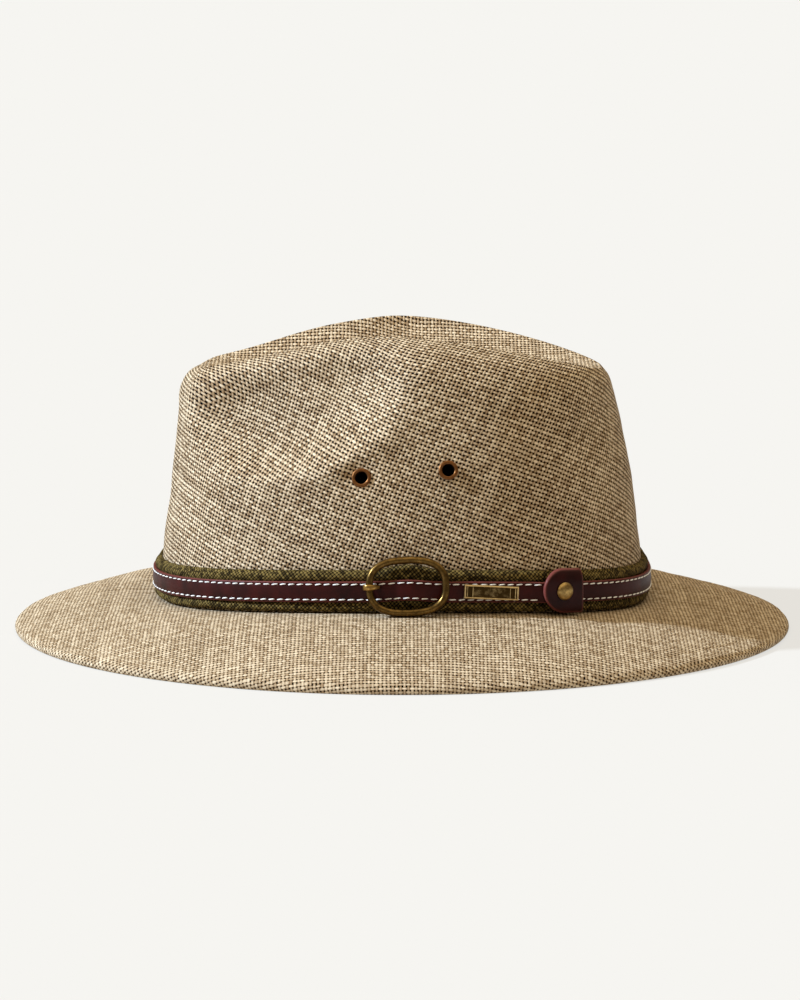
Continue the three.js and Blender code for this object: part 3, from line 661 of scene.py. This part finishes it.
# the prong's brass is a paler copy of the frame's, painted lighter as painted light where the prong catches
# the key
prong_brass = brass_material("antique_brass_prong", (120, 84, 34), (226, 184, 106), 0.25, 0.55)
plate_brass = brass_material("antique_brass_plate", (60, 44, 20), (206, 178, 126), 0.36, 0.76)
rivet_brass = brass_material("antique_brass_rivet", (70, 48, 20), (204, 170, 106), 0.27, 0.6)
copper = brass_material("copper_brass", (46, 26, 13), (140, 92, 52), 0.32, 0.68)
saddle_thread = thread_material("saddle_thread", (250, 246, 238))


def place(ob, material, slot_name, *nodes):
    ob.data.materials.append(material)
    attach(ob, "root")
    if nodes:
        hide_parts(*nodes)
    return ob


# Crown side
COLS = 480
phis = one_turn(COLS, -math.pi)
cloth_waves = Waves(46, 24, 3)
fine_waves = Waves(17, 24, 5)
GRAIN = math.radians(22.0)
# the fold at the lower back rim of each front dent, an arc when seen from the side
RIM_FOLD, RIM_CENTRE_X, RIM_CENTRE_Z, RIM_RADIUS = 2.3, -50.8, 131.5, 59.5
RIM_INWARD, RIM_OUTWARD = 14.0, 6.0
# the soft roll below the ridge: its height, how far down it is highest, and the wall's own height
RIDGE_ROLL, ROLL_BELOW, WALL_HEIGHT = 1.3, 7.0, 80
# neither is there within the first distance of an eyelet, and both are whole beyond the second
EYELET_FLAT, EYELET_FREE = 4.6, 9.0


def uneven(p, fade):
    """Small hand-shaped unevenness of the cloth, in mm along its normal."""
    return (0.28 * cloth_waves(p) + 0.08 * fine_waves(p)) * fade


def panel_uv(around, ahead, slant):
    """A side panel laid flat and turned to the cloth's grain. The two panels meet at front and back."""
    c, d = math.cos(GRAIN), math.sin(GRAIN)
    # towards the front the weft keeps its direction in space, pulled out of square to the warp
    weft = np.where(around < 0, ahead, around)
    return np.stack([c * around - d * slant, d * weft + c * slant], -1)


def flat_at_eyelets(p):
    """None right at the eyelets, where the cloth is clamped flat, and one further off."""
    on_left = np.stack([p[..., 0], -np.abs(p[..., 1]), p[..., 2]], -1)
    share = 1.0
    for along, rise in EYELET_SPOTS.values():
        away = size_of(on_left - wall_point(angle_at(along), rise))
        share = share * smoothstep(away, EYELET_FLAT, EYELET_FREE)
    return share


def rim_fold(p):
    """The lower back rim of each front dent, where the cloth breaks over a soft curved fold."""
    x, z = p[..., 0] - RIM_CENTRE_X, p[..., 2] - RIM_CENTRE_Z
    turn, beyond = np.degrees(np.arctan2(z, x)), np.hypot(x, z) - RIM_RADIUS
    away = np.sqrt(beyond ** 2 + 1) - 1
    fade = smoothstep(turn, -104, -66) * (1 - smoothstep(turn, -24, -8))
    return RIM_FOLD * np.exp(-away / np.where(beyond < 0, RIM_INWARD, RIM_OUTWARD)) * fade


def ridge_roll(phi, rise):
    """Along the sides the wall rolls over softly just below its top seam."""
    below = (1 - rise) * WALL_HEIGHT / ROLL_BELOW
    return RIDGE_ROLL * below * np.exp(1 - below) * smoothstep(np.abs(np.sin(phi)), 0.3, 0.8)


def cloth_slant(outer, rises):
    """Length of cloth up the side of the wall, for each point of the grid."""
    side_phi, top_stretch = -1.4, 2.1
    profile = wall_point(np.full(len(rises), side_phi), rises)
    height = outer[..., 2]
    slant = np.interp(height, profile[:, 2], running_length(profile)) - np.maximum(profile[0, 2] - height, 0)
    slant = slant + top_stretch * np.maximum(height - profile[-1, 2], 0)
    # by height up to where the wall rolls over to the top, then by the cloth's true length
    true_steps = size_of(np.diff(outer, axis=0))
    steps = lerp(np.diff(slant, axis=0), true_steps, smoothstep(rises[1:, None], 0.66, 0.84))
    return np.concatenate([slant[:1], slant[:1] + np.cumsum(steps, axis=0)])


def crown_side():
    rises = np.concatenate([np.linspace(0, 0.8, 62, endpoint=False), np.linspace(0.8, 1, 26)])
    R, P = np.meshgrid(rises, phis, indexing="ij")
    outer = wall_point(P, R)
    normals = grid_normals(outer)
    fade = smoothstep(R, 0.12, 0.3) * (1 - smoothstep(R, 0.97, 1.0))
    folds = flat_at_eyelets(outer) * (rim_fold(outer) + ridge_roll(P, R))
    outer = outer + normals * (uneven(outer, fade) + folds)[..., None]
    slant = cloth_slant(outer, rises)
    # the panel's cut edge turns in at the seam
    top = outer[-1:] + normals[-1:] * -0.5 + (outer[-1:] - outer[-2:-1]) * 0.02
    # the inner face has every fourth row of the outer one
    inner = (outer - normals * CLOTH)[::4][::-1]
    inner[-1, :, 2] = outer[0, :, 2]
    order = np.arange(len(rises))
    source_row = np.concatenate([order, order[-1:], order[::4][::-1], [0]])
    girth = size_of(np.diff(outer, axis=1)).sum(1)
    girth = girth / girth[0]
    run = arc(np.append(phis, math.pi))

    def uv_at(row, column, own_column):
        on_left = own_column < COLS // 2
        s = run[column] - np.where(on_left, 0, ROUND / 2)
        r = source_row[row]
        x = outer[r, column % COLS, 0]
        return panel_uv(s * girth[r], np.where(on_left, x, -x), slant[r, column % COLS])

    return loop_grid("crown_side_cloth", np.concatenate([outer, top, inner]), uv_at)


def crown_tip():
    shares = np.concatenate([np.linspace(0, 0.2, 12, endpoint=False), np.linspace(0.2, 1, 44)])
    S, P = np.meshgrid(shares, phis, indexing="ij")
    outer = tip_point(P, S)
    normals = grid_normals(outer)
    normals[-1] = normals[-2]
    outer = outer + normals * uneven(outer, smoothstep(S, 0.0, 0.12))[..., None]
    inner = (outer - normals * CLOTH)[::4][::-1]
    grid = np.concatenate([inner, outer])
    verts = grid.reshape(-1, 3)
    faces = grid_faces(len(grid), COLS, False, True).tolist()

    def close_crease(start, up):
        """A strip of faces from side to side along the bottom of the crease."""
        for i in range(COLS // 2):
            near, next_near = start + i, start + i + 1
            far, next_far = start + (COLS - i) % COLS, start + (COLS - i - 1) % COLS
            face = list(dict.fromkeys([near, next_near, next_far, far]))
            if len(face) > 2:
                faces.append(face if up else face[::-1])

    close_crease((len(grid) - 1) * COLS, True)
    close_crease(0, False)
    return new_mesh("crown_tip_cloth", verts, faces, verts[:, :2])


# Brim
brim_waves = Waves(90, 16, 21)
# the hem's groove and its fullness: height, distance in from the edge, and width
HEM_GROOVE, GROOVE_IN, GROOVE_WIDTH = -0.2, 7.2, 0.8
HEM_PUFF, PUFF_IN, PUFF_WIDTH = 0.12, 3.6, 2.6
# the plain cloth ends this far in from the edge, and the hem has rows at these distances
CLOTH_END = 10.0
HEM_ROWS = (9.2, 8.6, 8.1, 7.7, 7.4, 7.1, 6.8, 6.4, 5.9, 5.2, 4.4, 3.6, 2.8, 2.1, 1.5)
HEM_UNDER_ROWS = (3.5, 6.4, 8.2)
CLOTH_ROWS, CLOTH_UNDER_ROWS = 46, 14
FOLD_INSET, FOLD_ANGLE, FOLD_ROWS = 1.45, 75, 9


def brim_outline(phi, inset=0.0):
    return np.stack([(BRIM_LENGTH / 2 - inset) * np.cos(phi), (BRIM_WIDTH / 2 - inset) * np.sin(phi)], -1)


def brim_height(phi, share):
    convexity = lerp(BRIM_CONVEXITY_AT_SIDES, BRIM_CONVEXITY_AT_ENDS, np.cos(phi) ** 2)
    return lerp(break_height(phi), HEM_THICKNESS, share ** convexity)


def brim_shape():
    """The brim as a grid of rows, from its inner edge over the top, round the hem and back below."""
    foot, edge = head_line(phis), brim_outline(phis)
    span = size_of(edge - foot)

    def top(distance_in):
        """Top face at a distance in from the edge, the same or one for each column."""
        share = np.clip(1 - distance_in / span, 0, 1)
        p = foot * (1 - share[:, None]) + edge * share[:, None]
        z = brim_height(phis, share)
        z = z + HEM_GROOVE * hill(distance_in, GROOVE_IN, GROOVE_WIDTH)
        z = z + HEM_PUFF * hill(distance_in, PUFF_IN, PUFF_WIDTH)
        q = np.concatenate([p, z[:, None]], -1)
        fade = smoothstep(share, 0.06, 0.3) * (1 - 0.75 * smoothstep(share, 0.8, 1.0))
        q[:, 2] += (0.35 * brim_waves(q) + 0.12 * fine_waves(q)) * fade
        return q

    inner = np.concatenate([head_line(phis, CLOTH), break_height(phis)[:, None]], -1)
    rows = [inner]
    rows += [top(lerp(span, CLOTH_END, t)) for t in np.linspace(0, 1, CLOTH_ROWS)]
    rows += [top(distance) for distance in HEM_ROWS]
    # rounded fold of the hem
    for angle in np.radians(np.linspace(FOLD_ANGLE, -FOLD_ANGLE, FOLD_ROWS)):
        rim = brim_outline(phis, FOLD_INSET * (1 - math.cos(angle)))
        z = HEM_THICKNESS / 2 * (1 + math.sin(angle) / math.sin(math.radians(FOLD_ANGLE)))
        rows.append(np.concatenate([rim, np.full((COLS, 1), z)], -1))
    for distance in HEM_UNDER_ROWS:
        row = top(distance) - [0, 0, HEM_THICKNESS]
        row[:, 2] = np.maximum(row[:, 2], 0.0)
        rows.append(row)
    rows.append(top(8.9) - [0, 0, CLOTH + 0.3])
    rows += [top(lerp(CLOTH_END, span, t)) - [0, 0, CLOTH] for t in np.linspace(0, 1, CLOTH_UNDER_ROWS)]
    rows.append(inner - [0, 0, CLOTH])
    return np.stack(rows)


def brim():
    grid = brim_shape()[::-1]
    # laid flat: over the fold of the hem the cloth runs on outwards
    fold = size_of(np.diff(grid, axis=0))
    plan = grid[..., :2].copy()
    below = len(HEM_UNDER_ROWS) + CLOTH_UNDER_ROWS + 2
    first = next(i for i in range(below, len(grid)) if grid[i, 0, 2] > 0.01)
    last = next(i for i in range(first, len(grid)) if grid[i, 0, 2] > HEM_THICKNESS * 0.98)
    outward = unit(plan[last] - plan[last + 6])
    beyond = np.zeros(COLS)
    for row in range(last - 1, first - 2, -1):
        beyond = beyond + fold[row]
        plan[row] = plan[last] + outward * beyond[:, None]
    return loop_grid("brim_cloth", grid, lambda row, column, _: plan[row % len(grid), column % COLS])


side_piece = place(crown_side(), side_cloth, "straw_cloth", "crown_side")
place(crown_tip(), tip_cloth, "straw_cloth", "crown_tip")
place(brim(), brim_cloth, "straw_cloth", "brim")

# Band
band_waves = Waves(30, 20, 31)
BAND_COLS = 720
# share of the half height, and thickness: a roll at each edge and a pinched middle
BAND_PROFILE = mirrored([
    (-0.98, 0.05), (-1.0, 0.6), (-0.985, 1.2), (-0.95, 1.75), (-0.9, 2.2), (-0.84, 2.52), (-0.77, 2.7),
    (-0.7, 2.72), (-0.63, 2.6), (-0.56, 2.35), (-0.5, 2.0), (-0.44, 1.8), (-0.36, 1.75), (0, 1.75)])


def band():
    ph = one_turn(BAND_COLS, -math.pi)
    centre, swell, half = band_centre(ph), bulge(ph), band_height(ph) / 2
    # 0.1 mm off the wall
    bed = 0.1
    rows = []
    for h, t in BAND_PROFILE:
        puff = band_waves(beside_wall(ph, centre + h * half, bed)) * 0.22 * (0.45 < abs(h) < 0.97)
        thickness = t * (1 + puff * 0.35) + swell * max(0.0, 1 - abs(h) / 0.6) ** 0.5
        rows.append(beside_wall(ph, centre + h * half + puff * 0.6 * (abs(h) > 0.8), bed + thickness))
    # the back of the band lies on the wall
    rows += [beside_wall(ph, centre + h * half, bed) for h in (0.9, 0.0, -0.9)]
    grid = np.stack(rows, 1)
    # laid flat: up the front, then down the back in steps of about 8 mm
    front = running_length(np.array(BAND_PROFILE) * [BAND_HEIGHT / 2, 1])
    flat = np.append(front, front[-1] + [8, 16, 24, 28])
    uv = np.stack(np.meshgrid(arc(np.append(ph, math.pi)), flat, indexing="ij"), -1)
    return loop_grid("hat_band_canvas", grid, lambda row, column, _: uv[row, column], flip=True)


band_piece = place(band(), canvas, "canvas", "hat_band")

# Strap: its arc runs from under the tab once round and on to the end of the lap
tab_arc = arc(tab_phi)
strap_start = tab_arc - STRAP_OVERLAP / 2
lap_arc = strap_start + ROUND
strap_end = lap_arc + STRAP_OVERLAP
# height share of the half width, share of the thickness, worn edge
STRAP_PROFILE = mirrored([
    (-0.96, 0.02, 0.4), (-1.0, 0.12, 0.8), (-1.0, 0.75, 1.0), (-0.985, 0.9, 1.0), (-0.94, 1.0, 0.55),
    (-0.86, 1.04, 0.0), (-0.8, 1.0, 0.0), (-0.74, 0.93, 0.0), (-0.66, 1.0, 0.0), (-0.5, 1.06, 0.0),
    (0.0, 1.09, 0.0)])


def strap_at(s, height, out):
    """A point on the strap's bed at arc s, which may run past one turn."""
    ph = phi_of_arc(s)
    lift = smoothstep(s, lap_arc - STRAP_RAMP, lap_arc) * (STRAP_THICKNESS + SEAM_GAP)
    return beside_wall(ph, band_centre(ph) + height, strap_bed(ph) + lift + out)


def strap():
    s = np.linspace(strap_start, strap_end, 900)
    rows = [strap_at(s, h * STRAP_WIDTH / 2, t * STRAP_THICKNESS) for h, t, _ in STRAP_PROFILE]
    grid = np.stack(rows, 1)
    edges = np.tile([worn for _, _, worn in STRAP_PROFILE], len(s))
    faces = tube_faces(*grid.shape[:2], True)
    return new_mesh("strap_leather_piece", grid, faces, edge=edges)


place(strap(), strap_leather, "strap_leather", "strap")

# Stitches: pitch, length, radius, and how far in from the strap's edge they run
STITCH_PITCH, STITCH_LENGTH, STITCH_RADIUS, STITCH_INSET = 3.65, 3.0, 0.28, 1.08


def stitch(a, b, out, sides=7, rings=5):
    """A short sunk thread from a to b, with its ends turned down."""
    side = np.cross(out, unit(b - a))
    # k is -1 and 1 at the ends
    t = np.linspace(0, 1, rings)[:, None, None]
    k = 2 * t - 1
    centre = lerp(a, b, t) + out * (STITCH_RADIUS * (0.35 - 1.1 * k ** 4))
    w = one_turn(sides)[:, None]
    verts = centre + STITCH_RADIUS * (1 - 0.45 * k ** 6) * (np.cos(w) * side + np.sin(w) * out)
    return verts.reshape(-1, 3), tube_faces(rings, sides)


def strap_stitches():
    parts = []
    # each row's first stitch, from the strap's end
    for side, first in ((-1, 1.2), (1, 2.6)):
        offset = side * (STRAP_WIDTH / 2 - STITCH_INSET)
        start = strap_start + first
        for i in range(int((strap_end - 1.5 - start) / STITCH_PITCH)):
            s = start + i * STITCH_PITCH + RNG.normal(0, 0.08)
            middle = s + STITCH_LENGTH / 2
            if abs(wrap_arc(middle - tab_arc)) < TAB_LENGTH / 2 + 0.2 or s > lap_arc:
                # covered by the tab
                continue
            tilt = (0.18 + RNG.normal(0, 0.05)) * 0.8
            a, b = strap_at(np.array([s, s + STITCH_LENGTH]), np.array([offset - tilt, offset + tilt]),
                            STRAP_THICKNESS * 0.96)
            parts.append(stitch(a, b, unit(np.append(plan_normal(phi_of_arc(middle)), 0.12))))
    return join(parts, "strap_stitches")


place(strap_stitches(), saddle_thread, "strap_leather")

# Tab
TAB_CORNER = 0.9
# inset, thickness, worn edge
TAB_RINGS = [
    (2.5, 0.0, 0.0), (0.25, 0.0, 0.3), (0.0, 0.25, 0.8), (0.0, 1.05, 1.0), (0.1, 1.4, 1.0),
    (0.35, 1.68, 0.75), (0.7, 1.79, 0.15), (1.2, 1.8, 0.0), (2.4, 1.74, 0.0), (4.0, 1.7, 0.0),
    (6.0, 1.7, 0.0), (7.6, 1.7, 0.0)]


def tab_bed(phi):
    """How far the tab's back is from the wall."""
    return strap_face(phi) + STRAP_THICKNESS + 2 * SEAM_GAP


def tab():
    half_l, half_h = TAB_LENGTH / 2, TAB_HEIGHT / 2
    corner_x, corner_y = half_l - TAB_CORNER, half_h - TAB_CORNER
    front = half_h - half_l
    # straight back edge with small corners, then the round front
    outline = arc_points(corner_x, -corner_y, TAB_CORNER, -90, 0, 8)
    outline += [(half_l, y) for y in np.linspace(-corner_y, corner_y, 14)[1:-1]]
    outline += arc_points(corner_x, corner_y, TAB_CORNER, 0, 90, 8)
    outline += [(x, half_h) for x in np.linspace(corner_x, front, 6)[1:-1]]
    outline += arc_points(front, 0, half_h, 90, 270, 48)
    outline += [(x, -half_h) for x in np.linspace(front, corner_x, 6)[1:-1]]
    outline = np.array(outline)
    flat = STRAP_WIDTH / 2
    rows, edge = [], []
    for inset, thickness, worn in TAB_RINGS:
        points = outline * [1 - inset / half_l, 1 - inset / half_h]
        ph = phi_of_arc(tab_arc + points[:, 0])
        height = points[:, 1] + TAB_RAISE
        beyond_strap = np.maximum(0, np.abs(height) - flat) / (half_h + TAB_RAISE - flat)
        out = tab_bed(ph) - TAB_DRAPE * beyond_strap ** 2 + thickness
        rows.append(beside_wall(ph, band_centre(ph) + height, out))
        edge.append(np.full(len(points), worn))
    faces = tube_faces(len(rows), len(outline))
    return new_mesh("tab_leather_piece", rows, faces, edge=edge)


place(tab(), tab_leather, "strap_leather", "tab")


def lathe(name, profile, basis, origin, segments, wobble=0.0):
    """profile: closed loop of (radius, height); the axis is the frame's third column."""
    a = one_turn(segments)
    out_of_round = 1 + wobble * np.sin(2 * a + 0.7) + wobble * 0.6 * np.sin(5 * a + 2.1)
    rows = []
    for radius, height in profile:
        r = radius * out_of_round
        ring = np.stack([r * np.cos(a), r * np.sin(a), np.full(segments, height)], -1)
        rows.append(ring @ basis.T + origin)
    return new_mesh(name, rows, grid_faces(len(profile), segments, True, True))


def rivet():
    seat = TAB_THICKNESS - 0.05
    shank, r = 1.2, RIVET_HEAD / 2
    profile = [(0.01, -1.0), (shank, -1.0), (shank, seat), (r - 0.35, seat), (r - 0.08, seat + 0.12),
               (r, seat + 0.32), (r - 0.06, seat + 0.5), (r - 0.3, seat + 0.72)]
    for a in np.linspace(0.1, 1, 12) * math.pi / 2:
        profile.append(((r - 0.35) * math.cos(a) + 0.01, seat + 0.72 + (RIVET_DOME - 0.6) * math.sin(a)))
    basis, origin = local_frame(tab_phi, band_centre(tab_phi) + TAB_RAISE, tab_bed(tab_phi))
    return lathe("rivet_head", profile, basis, origin, 72)


place(rivet(), rivet_brass, "antique_brass", "rivet")

# Buckle
wire = BUCKLE_WIRE / 2
bars = BUCKLE_LENGTH / 2 - wire


def buckle_rest():
    """Frame and origin of the buckle: it leans on the strap, its foot just over the brim."""
    basis, origin = local_frame(buckle_phi, band_centre(buckle_phi), 0.0)
    at_bars = []
    for side in (-1, 1):
        ph = angle_at(BUCKLE_ALONG + side * bars)
        p = beside_wall(ph, band_centre(ph), strap_face(ph))
        at_bars.append(((p - origin) @ basis)[2])
    turn, lean = math.radians(BUCKLE_TURN), math.radians(BUCKLE_TILT)
    depth = max(at_bars) + SEAM_GAP + wire + math.sin(lean) * STRAP_WIDTH / 2
    foot_out = depth + math.sin(lean) * BUCKLE_HEIGHT / 2
    span = size_of(brim_outline(buckle_phi) - head_line(buckle_phi))
    brim_below = brim_height(buckle_phi, foot_out / span)
    up = brim_below + SEAM_GAP + math.cos(lean) * BUCKLE_HEIGHT / 2 - band_centre(buckle_phi)
    leaned = np.array([[1, 0, 0],
                       [0, math.cos(lean), math.sin(lean)],
                       [0, -math.sin(lean), math.cos(lean)]])
    turned = np.array([[math.cos(turn), -math.sin(turn), 0],
                       [math.sin(turn), math.cos(turn), 0],
                       [0, 0, 1]])
    return basis @ leaned @ turned, origin + basis @ np.array([0, up, depth])


buckle_basis, buckle_origin = buckle_rest()


def buckle():
    turns, sides = 160, 20
    a = np.linspace(0, 2 * math.pi, 4001)
    line = np.stack([bars * spow(np.cos(a), 2 / BUCKLE_FULLNESS),
                     (BUCKLE_HEIGHT / 2 - wire) * spow(np.sin(a), 2 / BUCKLE_FULLNESS),
                     np.zeros_like(a)], -1)
    # even steps along the line
    run = running_length(line)
    even = np.linspace(0, run[-1], turns, endpoint=False)
    centre = np.stack([np.interp(even, run, line[:, k]) for k in range(3)], -1)
    along = unit(np.roll(centre, -1, 0) - np.roll(centre, 1, 0))
    outward = np.stack([along[:, 1], -along[:, 0], np.zeros(turns)], -1)
    w = one_turn(sides)[:, None]
    grid = centre[:, None] + wire * (np.cos(w) * outward[:, None] + np.sin(w) * np.array([0, 0, 1.0]))
    grid = grid @ buckle_basis.T + buckle_origin
    return new_mesh("buckle_wire", grid, grid_faces(turns, sides, True, True, True))


place(buckle(), wire_brass, "antique_brass", "buckle_frame")


def prong():
    """A flat tongue wrapped round the front bar, tapering to a tip that dips into the strap."""
    sides = 16
    bore = wire + 0.12
    path = arc_points(0, 0, bore + PRONG_THICKNESS / 2, 205, 62, 22)
    x, y = path[-1]
    path += [(lerp(x, PRONG_REACH, t), lerp(y, -0.5 * bore, t ** 1.3)) for t in np.linspace(0.12, 1, 14)]
    path.append((PRONG_REACH + 0.1, -bore - PRONG_DIP))
    path = np.array(path)
    tangent = unit(np.gradient(path, axis=0))
    normal = np.stack([-tangent[:, 1], tangent[:, 0]], -1)
    t = np.linspace(0, 1, len(path))
    # the last ring is drawn in to a blunt tip
    tip = np.where(t > 0.97, 0.6, 1.0)
    half_width = PRONG_WIDTH / 2 * lerp(1, 0.62, smoothstep(t, 0.45, 1.0)) * tip
    half_thick = PRONG_THICKNESS / 2 * lerp(1, 0.75, smoothstep(t, 0.6, 1.0)) * tip
    a = one_turn(sides)
    across, through = spow(np.cos(a), 0.6), spow(np.sin(a), 0.6)
    q = path[:, None] + normal[:, None] * (half_thick[:, None] * through)[..., None]
    grid = np.stack([q[..., 0] - bars, half_width[:, None] * across, q[..., 1]], -1)
    grid = grid @ buckle_basis.T + buckle_origin
    return new_mesh("prong_tongue", grid, tube_faces(len(path), sides, True))


place(prong(), prong_brass, "antique_brass", "buckle_prong")

# Plate
SLOT_FROM_END, SLOT_HALF, SLOT_FLOOR = 1.6, 0.85, 0.04
PLATE_FACE, PLATE_RIM, PLATE_BACK = 0.62, 0.45, 0.1


def plate():
    """A plate with a raised border and, at each end, a slot with a raised lip."""
    nx, ny = 133, 41
    half_l, half_h = PLATE_LENGTH / 2, PLATE_HEIGHT / 2
    X, Y = np.meshgrid(np.linspace(-1, 1, nx) * half_l, np.linspace(-1, 1, ny) * half_h, indexing="ij")
    to_edge = np.minimum(half_l - np.abs(X), half_h - np.abs(Y))
    border = smoothstep(to_edge, 0.0, 0.22) * (1 - smoothstep(to_edge, 0.62, 0.85))
    height = PLATE_FACE + PLATE_RIM * border - 0.25 * (1 - smoothstep(to_edge, 0.0, 0.25))
    # distance outside the slot, along and across
    beyond_x = np.abs(np.abs(X) - (half_l - SLOT_FROM_END - SLOT_HALF)) - SLOT_HALF
    beyond_y = np.abs(Y) - (half_h - SLOT_HALF)
    in_slot = smoothstep(-beyond_x, -0.08, 0.12) * smoothstep(-beyond_y, -0.08, 0.12)
    lip = hill(np.maximum(beyond_x, beyond_y), 0.18, 0.16) * (to_edge > 0.3)
    height = lerp(height + 0.2 * lip, SLOT_FLOOR, in_slot)
    tilt = math.radians(PLATE_TILT)
    ph = phi_of_arc(arc(plate_phi) + X * math.cos(tilt) - Y * math.sin(tilt))
    up = band_centre(ph) + (X * math.sin(tilt) + Y * math.cos(tilt))
    back = strap_face(ph) + PLATE_BACK
    verts = np.stack([beside_wall(ph, up, back + height), beside_wall(ph, up, back)])
    base = nx * ny
    # rubbed bright on the raised border and the slots' lips as wear; inside the slots it is painted dark, as
    # painted shade in the openings
    worn = np.append(0.45 * border + 0.3 * lip - in_slot - 0.12, np.zeros(base))
    faces = grid_faces(nx, ny, False, False, True).tolist()
    faces += [[i + base for i in face][::-1] for face in faces]
    index = np.arange(base).reshape(nx, ny)
    rim_loop = [*index[:, 0], *index[-1, 1:], *index[-2::-1, -1], *index[0, -2:0:-1]]
    for a, b in zip(rim_loop, rim_loop[1:] + rim_loop[:1]):
        faces.append([a, a + base, b + base, b])
    return new_mesh("plate_bare", verts, faces, worn=worn)


place(plate(), plate_brass, "antique_brass", "name_plate")

# Eyelets
EYELET_SEGMENTS, EYELET_WOBBLE = 56, 0.012


def eyelet_frame(along, rise, side):
    """Frame and origin of an eyelet: side is 1 on the left, -1 for its mirror image on the right."""
    phi = angle_at(along)
    basis, origin = local_frame(phi, wall_point(phi, rise)[2], 0.0)
    mirror = np.array([1, side, 1])
    basis = basis * mirror[:, None]
    basis[:, 0] *= side
    return basis, origin * mirror


def eyelets():
    bore, rim = EYELET_BORE / 2, EYELET_OUTER / 2 + 0.3
    profile = [
        (bore, 0.35), (bore - 0.02, -1.2), (bore, -2.3), (bore + 0.9, -2.3), (bore + 0.9, -2.1),
        (bore + 0.3, -2.0), (bore + 0.3, 0.1), (rim - 0.12, 0.12), (rim, 0.26), (rim - 0.02, 0.48),
        (rim - 0.18, 0.72), (rim - 0.45, 0.88), (bore + 0.5, 0.92), (bore + 0.2, 0.8), (bore + 0.03, 0.6)]
    for end, (along, rise) in EYELET_SPOTS.items():
        for hand, side in (("left", 1), ("right", -1)):
            node = "eyelet_%s_%s" % (hand, end)
            basis, origin = eyelet_frame(along, rise, side)
            ring = lathe(node + "_ring", profile, basis, origin, EYELET_SEGMENTS, EYELET_WOBBLE)
            place(ring, copper, "copper_brass", node)


eyelets()


def cut_eyelet_holes(ob):
    """Opens the cloth behind each eyelet."""
    reach, radius = 8.0, EYELET_BORE / 2 + 0.35
    punch = [(0.01, -reach), (radius, -reach), (radius, reach), (0.01, reach)]
    for along, rise in EYELET_SPOTS.values():
        for side in (1, -1):
            tool = lathe("punch", punch, *eyelet_frame(along, rise, side), 40)
            cut = ob.modifiers.new("punch", "BOOLEAN")
            cut.operation = "DIFFERENCE"
            cut.solver = "EXACT"
            cut.object = tool
            with bpy.context.temp_override(object=ob, active_object=ob):
                bpy.ops.object.modifier_apply(modifier=cut.name)
            bpy.data.objects.remove(tool)


cut_eyelet_holes(side_piece)

# Studio
FLOOR_COLOUR, FLOOR_ROUGHNESS = (0.189, 0.171, 0.149), 0.9
GLOW_COLOUR, GLOW = (0.981, 0.995, 0.985, 1), 0.637
HORIZON, OVERHEAD = (0.1, 0.07, 0.04, 1), (1.66, 1.46, 1.1, 1)

bpy.ops.mesh.primitive_plane_add(size=60, location=(0, 0, 0))
floor = bpy.context.object
floor.name = "floor"
pale = Nodes("pale_floor")
# the glow that keeps the floor pale ends where the hat stands
px, py, _ = pale.split(pale.object_mm())
px, py = pale.div(px, BRIM_LENGTH / 2 - 1), pale.div(py, BRIM_WIDTH / 2 - 1)
outside = pale.math("GREATER_THAN", pale.add(pale.mul(px, px), pale.mul(py, py)), 1.0)
floor.data.materials.append(pale.finish(
    FLOOR_COLOUR, FLOOR_ROUGHNESS, Specular_IOR_Level=0.0,
    Emission_Color=GLOW_COLOUR, Emission_Strength=pale.mul(outside, GLOW)))

# dim near the horizon, bright overhead
sky = Nodes("studio", bpy.data.worlds)
scene.world = sky.data
steep = sky.math("POWER", sky.split(sky.new("TexCoord").outputs["Generated"])[2], 2.0)
steep.node.use_clamp = True
sky.put(sky.tree.nodes["Background"], Color=sky.mix(steep, HORIZON, OVERHEAD))


def stand(data, azimuth, elevation, distance, target=(0, 0, 0)):
    """Puts a light or the camera where it looks at a target. azimuth: 0 is from the camera's side, 90 from
    its right, in degrees."""
    az, el = math.radians(azimuth), math.radians(elevation)
    direction = Vector((math.sin(az) * math.cos(el), -math.cos(az) * math.cos(el), math.sin(el)))
    ob = bpy.data.objects.new(data.name, data)
    ob.rotation_euler = (-direction).to_track_quat("-Z", "Y").to_euler()
    ob.location = Vector(target) + direction * distance
    scene.collection.objects.link(ob)
    return ob


key = bpy.data.lights.new("key", "SUN")
key.energy = 5.0
key.angle = math.radians(3)
key.color = (0.8, 1.0, 1.29)
stand(key, -84, 33, 3)

# Camera
SENSOR_MM, FOCAL_PX, PICTURE_PX = 36, 3520, 1000
camera = bpy.data.cameras.new("camera")
camera.sensor_fit = "AUTO"
camera.sensor_width = SENSOR_MM
camera.lens = SENSOR_MM * FOCAL_PX / PICTURE_PX
scene.camera = stand(camera, 0, 9, 1.5, (-0.00085, 0, 0.0534))
scene.view_settings.view_transform = "Standard"
